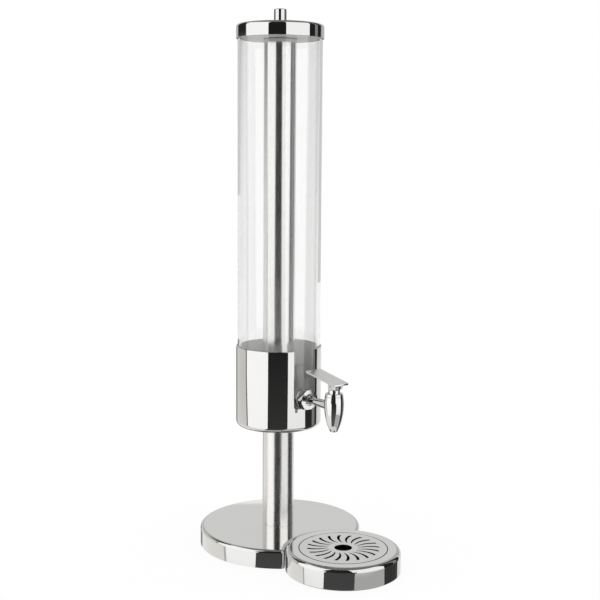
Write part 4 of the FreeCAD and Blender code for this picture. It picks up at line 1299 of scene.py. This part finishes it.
@dataclass
class Lid(Assembly):
    """The steel cap, the moulded plug under it, its sealing ring, the knob and its screw."""

    sheet: float = 0.0012
    rounding: float = 0.0036
    hem: float = 0.0004
    plug_wall: float = 0.0025
    plug_edge: float = 0.0006
    boss_radius: float = 0.006
    seal_section: float = 0.0022
    seal_fit: float = 0.0009
    seal_gap: float = 0.0003
    seal_steps: int = 16
    screw_hole: float = 0.0022
    knob_bevel: float = 0.0008
    knob_edge: float = 0.0003
    screw_radius: float = 0.002
    screw_tip: float = 0.0004
    head_radius: float = 0.0038
    head_height: float = 0.0024
    head_rounding: float = 0.001
    head_edge: float = 0.0002
    cross_share: float = 0.6
    cross_width: float = 0.001
    cross_depth: float = 0.0012

    def build(self) -> None:
        """Model and dress the lid's pieces."""
        self._cap()
        self._plug()
        self._knob()
        self._screw()

    def _cap(self) -> None:
        """The drawn cap, rounded along its top and hemmed along its foot."""
        shell = Place.of("lid_shell")
        inside, ceiling, hole = shell.radius - self.sheet, shell.top - self.sheet, self.screw_hole
        inner = self.rounding - self.sheet
        section = [(hole, ceiling, 0.0), (inside, ceiling, inner), (inside, shell.foot, self.hem)]
        section += [(shell.radius, shell.foot, self.hem), (shell.radius, shell.top, self.rounding)]
        section += [(hole, shell.top, 0.0)]
        cap = turn("lid_cap", section, True, shell.axis_foot, bend_steps=8)
        self.dress(cap, "polished_steel", "lid_shell")

    def _plug(self) -> None:
        """The moulded plug that centres the lid in the tank, and the ring that seals it."""
        insert, seal = Place.of("lid_insert"), Place.of("lid_seal")
        middle = (seal.foot + seal.top) / 2
        half = self.seal_section / 2
        tank_bore = seal.radius + self.seal_gap
        plug, edge = tank_bore - self.seal_fit, self.plug_edge
        groove = plug - self.seal_section + self.seal_fit - self.seal_gap
        inner = plug - self.plug_wall - self.seal_section
        rim = Place.of("tank_tube").top
        web = insert.foot + self.plug_wall
        hole, boss = self.screw_hole, self.boss_radius
        section = [(hole, insert.foot, 0.0), (plug, insert.foot, edge), (plug, middle - half, 0.0)]
        section += [(groove, middle - half, 0.0), (groove, middle + half, 0.0), (plug, middle + half, 0.0)]
        section += [(plug, rim, 0.0), (insert.radius, rim, 0.0), (insert.radius, insert.top, 0.0)]
        section += [(inner, insert.top, 0.0), (inner, web, edge), (boss, web, edge)]
        section += [(boss, insert.top, 0.0), (hole, insert.top, 0.0)]
        moulding = turn("lid_plug", section, True, insert.axis_foot, bend_steps=4)
        self.dress(moulding, "grey_plastic", "lid_insert")

        ring = arc((seal.radius - half, middle), half, 0.0, 360.0, self.seal_steps)[:-1]
        seal_ring = turn("lid_ring", ring, True, seal.axis_foot)
        self.dress(seal_ring, "clear_seal", "lid_seal")

    def _knob(self) -> None:
        """The turned knob, bevelled at its top and relieved where it meets the cap."""
        knob = Place.of("lid_knob")
        bevel, edge, hole = self.knob_bevel, self.knob_edge, self.screw_radius
        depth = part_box("knob_screw")[1].z + bevel
        section = [(0.0, depth, 0.0), (hole, depth, 0.0), (hole, knob.foot, 0.0)]
        section += [(knob.radius - bevel / 2, knob.foot, 0.0), (knob.radius, knob.foot + bevel / 2, 0.0)]
        section += [(knob.radius, knob.top - bevel, edge), (knob.radius - bevel, knob.top, edge)]
        section += [(0.0, knob.top, 0.0)]
        turned = turn("knob", section, False, knob.axis_foot, steps=SMALL_ROUND_STEPS, bend_steps=3)
        self.dress(turned, "polished_steel", "lid_knob")

    def _screw(self) -> None:
        """The screw, whose crossed head shows under the plug."""
        screw = Place.of("knob_screw")
        shoulder, head, shank = screw.foot + self.head_height, self.head_radius, self.screw_radius
        section = [(0.0, screw.foot, 0.0), (head, screw.foot, self.head_rounding)]
        section += [(head, shoulder, self.head_edge), (shank, shoulder, 0.0)]
        section += [(shank, screw.top, self.screw_tip), (0.0, screw.top, 0.0)]
        fixing = turn("lid_screw", section, False, screw.axis_foot, steps=SMALL_ROUND_STEPS, bend_steps=4)
        half, reach = self.cross_width / 2, head * self.cross_share
        bar = [Vector(point) for point in ((-reach, -half), (reach, -half), (reach, half), (-reach, half))]
        origin = Z_AXIS * (screw.foot - OVERCUT)
        first = slab("cross_bar", bar, origin, X_AXIS, Y_AXIS, Z_AXIS * (OVERCUT + self.cross_depth))
        second = copy_turned(first, math.pi / 2, ORIGIN)
        combine(first, second, "UNION")
        combine(fixing, first)
        self.dress(fixing, "fastener_steel", "knob_screw")


# ---------------------------------------------------------------- drip tray


@dataclass
class DripTray(Assembly):
    """The tray's shell and the bowl that hangs in it."""

    rounding: float = 0.006
    sheet: float = 0.0015
    edge: float = 0.0003
    grate_gap: float = 0.0012
    bowl_sheet: float = 0.0012
    bowl_rounding: float = 0.005
    bowl_ledge: float = 0.005
    hanger_outside: float = 0.0005
    hanger_inside: float = 0.001

    def build(self) -> None:
        """Model and dress the tray's visible pieces."""
        self._shell()
        self._bowl()

    def _shell(self) -> None:
        """The drawn shell, open below, whose flat top leaves a round mouth for the grate."""
        shell, grate = Place.of("tray_shell"), Place.of("grate")
        mouth, ceiling = grate.radius + self.grate_gap, shell.top - self.sheet
        inside, edge = shell.radius - self.sheet, self.edge
        section = [(inside, shell.foot, edge), (shell.radius, shell.foot, edge)]
        section += [(shell.radius, shell.top, self.rounding), (mouth, shell.top, edge)]
        section += [(mouth, ceiling, edge), (inside, ceiling, self.rounding - self.sheet)]
        ring = turn("tray_cover", section, True, shell.axis_foot, bend_steps=10)
        self.dress(ring, "polished_steel", "tray_shell")
        # The level top takes the lighter copy of the steel, which is painted light.
        self.refinish(ring, LIT_TOP_SHEET, lambda face: face.normal.z > LEVEL_FACE)

    def _bowl(self) -> None:
        """The bowl that hangs in the shell by its rim and carries the grate."""
        grate, bowl = Place.of("grate"), Place.of("drip_bowl")
        wall, hang = grate.radius - self.bowl_ledge, bowl.top - self.bowl_sheet
        inner, floor = wall - self.bowl_sheet, bowl.foot + self.bowl_sheet
        section = [(0.0, bowl.foot, 0.0), (wall, bowl.foot, self.bowl_rounding)]
        section += [(wall, hang, self.hanger_outside), (bowl.radius, hang, self.edge)]
        section += [(bowl.radius, bowl.top, self.edge), (inner, bowl.top, self.hanger_inside)]
        section += [(inner, floor, self.bowl_rounding - self.bowl_sheet), (0.0, floor, 0.0)]
        pan = turn("tray_bowl", section, False, bowl.axis_foot, bend_steps=5)
        # The bowl takes the near-black steel, which is painted shade for the dark under the grate.
        self.dress(pan, "sheet_steel", "drip_bowl", finish=BOWL_PAINTED_SHADE)


@dataclass
class Grate(Assembly):
    """The flat disc with a finger hole and a ring of bowed, tapered slots."""

    slots: int = 20
    finger_radius: float = 0.0113
    slot_start: float = 0.019
    slot_end: float = 0.046
    hollow_side: tuple[float, float, float] = (0.0298, 0.0325, 0.0319)
    round_side: tuple[float, float, float] = (0.0218, 0.035, 0.0272)
    side_steps: int = 10
    edge: float = 0.0002

    def build(self) -> None:
        """Model and dress the grate."""
        disc = Place.of("grate")
        section = sleeve(self.finger_radius, disc.radius, disc.foot, disc.top, 0.0)
        grate = turn("slotted_grate", section, True, disc.axis_foot)
        outline = self._slot_outline()
        foot = disc.axis_foot + Z_AXIS * (disc.foot - OVERCUT)
        depth = Z_AXIS * (disc.height + 2 * OVERCUT)
        first = slab("slot_cutter", outline, foot, X_AXIS, Y_AXIS, depth)
        turns = [math.tau * number / self.slots for number in range(1, self.slots)]
        cutter = join(first, *[copy_turned(first, angle, disc.axis_foot) for angle in turns])
        combine(grate, cutter)
        break_edges(grate, self.edge)
        self.dress(grate, "satin_steel", "grate")

    def _slot_outline(self) -> list[Vector]:
        """Draw one slot: two bowed sides between two rings about the grate's axis.

        Returns:
            The outline's points, measured from the grate's axis.
        """
        line: list[Vector] = []
        rings = [self.slot_start, self.slot_end]
        for side in (self.hollow_side, self.round_side):
            centre = Vector(side[:2])
            first, last = (self._crossing(ring, side) - centre for ring in rings)
            line += sweep(centre, first, last, self.side_steps)
            rings.reverse()
        return line

    def _crossing(self, ring: float, side: tuple[float, float, float]) -> Vector:
        """Find where a slot's side crosses a ring about the grate's axis.

        Args:
            ring: the ring's radius.
            side: the side's centre, across and up, and its radius.

        Returns:
            The crossing that is further along the slot.
        """
        x, y, radius = side
        span = math.hypot(x, y)
        along = (ring ** 2 - radius ** 2 + span ** 2) / (2 * span)
        across = math.sqrt(ring ** 2 - along ** 2)
        ends = [Vector(((along * x - sign * across * y) / span, (along * y + sign * across * x) / span))
                for sign in (-1.0, 1.0)]
        return max(ends, key=lambda point: point.y)


# ---------------------------------------------------------------- nodes that stay


@dataclass
class KeptNodes:
    """The frame's own pieces that stay in sight, which only take a finish."""

    wardrobe: Wardrobe

    def build(self) -> None:
        """Give every node that nothing stands for its slot's finish."""
        slots = {part["node"]: part["material_slot"] for part in frame["record"]["subparts"]}
        for name, node in frame["nodes"].items():
            if node.hide_render:
                continue
            material = self.wardrobe.get(SLOT_FINISH[slots[name]])
            for holder in node.material_slots:
                holder.material = material
            LOG.info("kept node %s", name)


# ---------------------------------------------------------------- studio

REFLECTORS_FOOT = -1.2
REFLECTORS_TOP = 1.6


@dataclass(frozen=True)
class Panel:
    """A reflector that only polished surfaces show: a curved strip round the tower.

    Bearings are degrees to the right of the camera, as the camera sees them. Levels are pairs of
    a height and the brightness there. Rise and sink say how many degrees to the right its left and
    right edges move for each metre up, above the height zero and below it.
    """

    name: str
    left: float
    right: float
    levels: tuple[tuple[float, float], ...]
    foot: float = REFLECTORS_FOOT
    top: float = REFLECTORS_TOP
    rise: tuple[float, float] = (0.0, 0.0)
    sink: tuple[float, float] = (0.0, 0.0)
    radius: float = 1.2
    tint: tuple[float, float, float] = (1.0, 1.0, 1.0)


@dataclass
class Studio:
    """The camera, the floor, the plain light and the reflectors."""

    lens: float = 66.65
    sensor: float = 36.0
    distance: float = 1.46515
    height: float = 0.52528
    bearing: float = 37.06
    pitch: float = 7.567
    yaw: float = 1.091
    roll: float = 0.404
    near_clip: float = 0.01
    floor_half_width: float = 8.0
    floor_own_white: float = 0.9
    mirrored_over: float = 0.5
    panel_columns: int = 24
    panel_rows: int = 14
    panels: tuple[Panel, ...] = (
        Panel("black_low", -25.0, 28.5, ((-0.7, 0.12), (-0.4, 0.09), (-0.14, 0.055)), top=-0.14,
              sink=(21.0, 21.0), radius=1.15),
        Panel("black_front", -27.9, 24.3, ((-0.14, 0.055), (0.09, 0.022)), foot=-0.14, top=0.09,
              sink=(7.3, 5.5), radius=1.15),
        Panel("black_upper", -34.5, 17.5, ((0.1, 0.03), (0.8, 0.02)), foot=0.09, rise=(6.0, -3.0),
              radius=1.15),
        Panel("soft_left", -93.5, 0.0, ((-0.5, 1.3), (-0.4, 1.5), (0.0, 1.6)), sink=(-35.0, 0.0)),
        Panel("soft_right", 0.0, 84.0, ((-0.37, 0.62), (-0.33, 1.2), (0.0, 1.5))),
        Panel("black_right", 73.5, 100.0, ((-0.5, 0.06), (0.1, 0.022)), rise=(8.3, 0.0),
              sink=(-12.5, 0.0), radius=1.18),
        Panel("slit_right", 100.0, 112.0, ((-0.3, 0.06), (-0.15, 0.3), (0.1, 0.32))),
        Panel("black_far_right", 112.0, 123.0, ((-0.5, 0.08), (0.1, 0.022)), rise=(0.0, 9.0)),
        Panel("line_left", -97.5, -93.5,
              ((-0.5, 0.7), (-0.35, 0.7), (-0.2, 0.2), (0.1, 0.1), (0.4, 0.1), (0.6, 1.4)),
              sink=(-35.0, -35.0)),
        Panel("black_high_left", -139.0, -97.0, ((0.42, 0.9), (0.6, 0.55), (0.72, 0.35), (0.8, 0.03)),
              foot=0.42, radius=1.18),
        Panel("dim_far_left", -180.0, -147.0, ((-0.5, 0.3), (0.0, 0.3)), top=0.07, radius=1.25),
        Panel("grey_back", 131.0, 221.0, ((0.2, 0.65), (1.2, 0.65)), foot=0.2, radius=1.35),
        Panel("warm_left", -180.0, -70.0, ((-0.5, 1.15), (-0.3, 1.1), (-0.05, 0.9), (0.1, 0.9)),
              top=0.42, radius=1.3, tint=(1.02, 1.0, 0.97)),
    )
    ceiling_near: float = 1.25
    ceiling_far: float = -1.2
    ceiling_left: float = -0.8
    ceiling_right: float = 1.25
    ceiling_height: float = REFLECTORS_TOP
    ceiling_level: float = 0.25

    def build(self) -> None:
        """Set the whole studio up."""
        scene = bpy.context.scene
        scene.view_settings.view_transform = "Standard"
        self._camera()
        self._world()
        self._floor()
        for panel in self.panels:
            self._panel(panel)
        self._ceiling()

    def _camera(self) -> None:
        """Set the camera, turned a little off the tower's axis and rolled."""
        data = bpy.data.cameras.new("camera")
        data.lens, data.sensor_width, data.clip_start = self.lens, self.sensor, self.near_clip
        camera = bpy.data.objects.new("camera", data)
        bpy.context.scene.collection.objects.link(camera)
        place = self._point(0.0, self.distance, self.height)
        turned = Matrix.Rotation(-math.radians(self.yaw + self.bearing), 4, "Z")
        tilted = Matrix.Rotation(math.radians(90.0 - self.pitch), 4, "X")
        rolled = Matrix.Rotation(math.radians(self.roll), 4, "Z")
        camera.matrix_world = Matrix.Translation(place) @ turned @ tilted @ rolled
        bpy.context.scene.camera = camera

    def _world(self) -> None:
        """Light everything evenly from all round."""
        world = bpy.data.worlds.new("studio")
        bpy.context.scene.world = world
        world.use_nodes = True
        background = next(node for node in world.node_tree.nodes if node.type == "BACKGROUND")
        background.inputs["Color"].default_value = WHITE
        background.inputs["Strength"].default_value = 1.0

    def _floor(self) -> None:
        """Lay the pale floor, which takes a faint shadow and which polished metal doesn't show."""
        bpy.ops.object.select_all(action="DESELECT")
        bpy.ops.mesh.primitive_plane_add(size=self.floor_half_width * 2)
        floor = bpy.context.object
        floor.name = "studio_floor"
        recipe = Recipe("pale_floor")
        seen = recipe.node("ShaderNodeLightPath").outputs["Is Camera Ray"]
        share = recipe.work_out("MULTIPLY", seen, self.floor_own_white)
        lit = recipe.node("ShaderNodeBsdfDiffuse", Color=WHITE)
        recipe.mix_surface(share, lit, recipe.node("ShaderNodeEmission", Color=WHITE))
        floor.data.materials.append(recipe.material)
        floor.visible_glossy = False

    def _reflector(self, thing: bpy.types.Object, material: bpy.types.Material) -> None:
        """Make an object a reflector, which is in no view and throws no light on dull surfaces.

        Args:
            thing: the object.
            material: its glow.
        """
        thing.data.materials.append(material)
        material.cycles.emission_sampling = "NONE"
        thing.visible_camera = False
        thing.visible_diffuse = False
        thing.visible_shadow = False
        thing.visible_volume_scatter = False

    def _glow(self, name: str, levels: Sequence[tuple[float, float]],
              tint: Sequence[float]) -> bpy.types.Material:
        """Build a reflector's material, which only shows in light that a polished surface threw back.

        Args:
            name: the material's name.
            levels: pairs of a height and the brightness there, from low to high.
            tint: the light's colour.

        Returns:
            The material.
        """
        recipe = Recipe(name)
        split = recipe.node("ShaderNodeSeparateXYZ")
        recipe.link(recipe.node("ShaderNodeTexCoord").outputs["Object"], split.inputs[0])
        low, high = levels[0][0], levels[-1][0]
        most = max(level for _, level in levels)
        ramp = recipe.node("ShaderNodeValToRGB")
        stops = ramp.color_ramp.elements
        stops.remove(stops[1])
        stops[0].color = (*(levels[0][1] / most,) * 3, 1.0)
        for height, level in levels[1:]:
            stops.new((height - low) / (high - low)).color = (*(level / most,) * 3, 1.0)
        recipe.link(recipe.spread(split.outputs["Z"], 0.0, 1.0, low, high), ramp.inputs["Fac"])
        glow = recipe.node("ShaderNodeEmission", Color=(*tint, 1.0))
        recipe.link(recipe.work_out("MULTIPLY", ramp.outputs["Color"], most), glow.inputs["Strength"])
        mirrored = recipe.node("ShaderNodeLightPath").outputs["Glossy Depth"]
        share = recipe.work_out("GREATER_THAN", mirrored, self.mirrored_over)
        recipe.mix_surface(share, recipe.node("ShaderNodeBsdfTransparent"), glow)
        return recipe.material

    def _point(self, bearing: float, radius: float, height: float) -> Vector:
        """Return the point at a bearing from the camera's own, a radius and a height."""
        angle = math.radians(self.bearing - bearing)
        return Vector((-radius * math.sin(angle), -radius * math.cos(angle), height))

    def _grid(self, name: str, columns: int, rows: int) -> bpy.types.Object:
        """Add a grid of side 1 about the origin, for a reflector.

        Args:
            name: the reflector's name.
            columns: the number of faces across.
            rows: the number of faces up.

        Returns:
            The grid.
        """
        bpy.ops.object.select_all(action="DESELECT")
        bpy.ops.mesh.primitive_grid_add(x_subdivisions=columns, y_subdivisions=rows, size=1.0)
        grid = bpy.context.object
        grid.name = "reflector_" + name
        return grid

    def _panel(self, panel: Panel) -> None:
        """Hang one curved reflector.

        Args:
            panel: what it is like.
        """
        strip = self._grid(panel.name, self.panel_columns, self.panel_rows)
        for vertex in strip.data.vertices:
            across, up = vertex.co.x + 0.5, vertex.co.y + 0.5
            height = panel.foot + (panel.top - panel.foot) * up
            left, right = (edge + rise * max(height, 0.0) + sink * min(height, 0.0)
                           for edge, rise, sink in zip((panel.left, panel.right), panel.rise, panel.sink))
            vertex.co = self._point(left + (right - left) * across, panel.radius, height)
        self._reflector(strip, self._glow(panel.name, panel.levels, panel.tint))

    def _ceiling(self) -> None:
        """Hang the dark ceiling over the camera's side of the tower."""
        cover = self._grid("ceiling", 2, 2)
        for vertex in cover.data.vertices:
            depth = self.ceiling_far + (self.ceiling_near - self.ceiling_far) * (vertex.co.y + 0.5)
            across = self.ceiling_left + (self.ceiling_right - self.ceiling_left) * (vertex.co.x + 0.5)
            vertex.co = self._point(0.0, depth, self.ceiling_height) + self._point(90.0, across, 0.0)
        levels = ((0.0, self.ceiling_level), (1.0, self.ceiling_level))
        self._reflector(cover, self._glow("dark_ceiling", levels, (1.0, 1.0, 1.0)))


# ---------------------------------------------------------------- the whole


def main() -> None:
    """Build the sub-assemblies in order, then the nodes that stay, then the studio."""
    logging.basicConfig(level=logging.INFO, format="%(message)s")
    wardrobe = Wardrobe()
    assemblies = (
        Stand("stand", wardrobe),
        Tank("tank", wardrobe),
        Tap("tank", wardrobe),
        Lever("lever", wardrobe),
        IceTube("ice_tube", wardrobe),
        Lid("lid", wardrobe),
        DripTray("drip_tray", wardrobe),
        Grate("grate", wardrobe),
        KeptNodes(wardrobe),
        Studio(),
    )
    for assembly in assemblies:
        assembly.build()


if __name__ == "__main__":
    main()
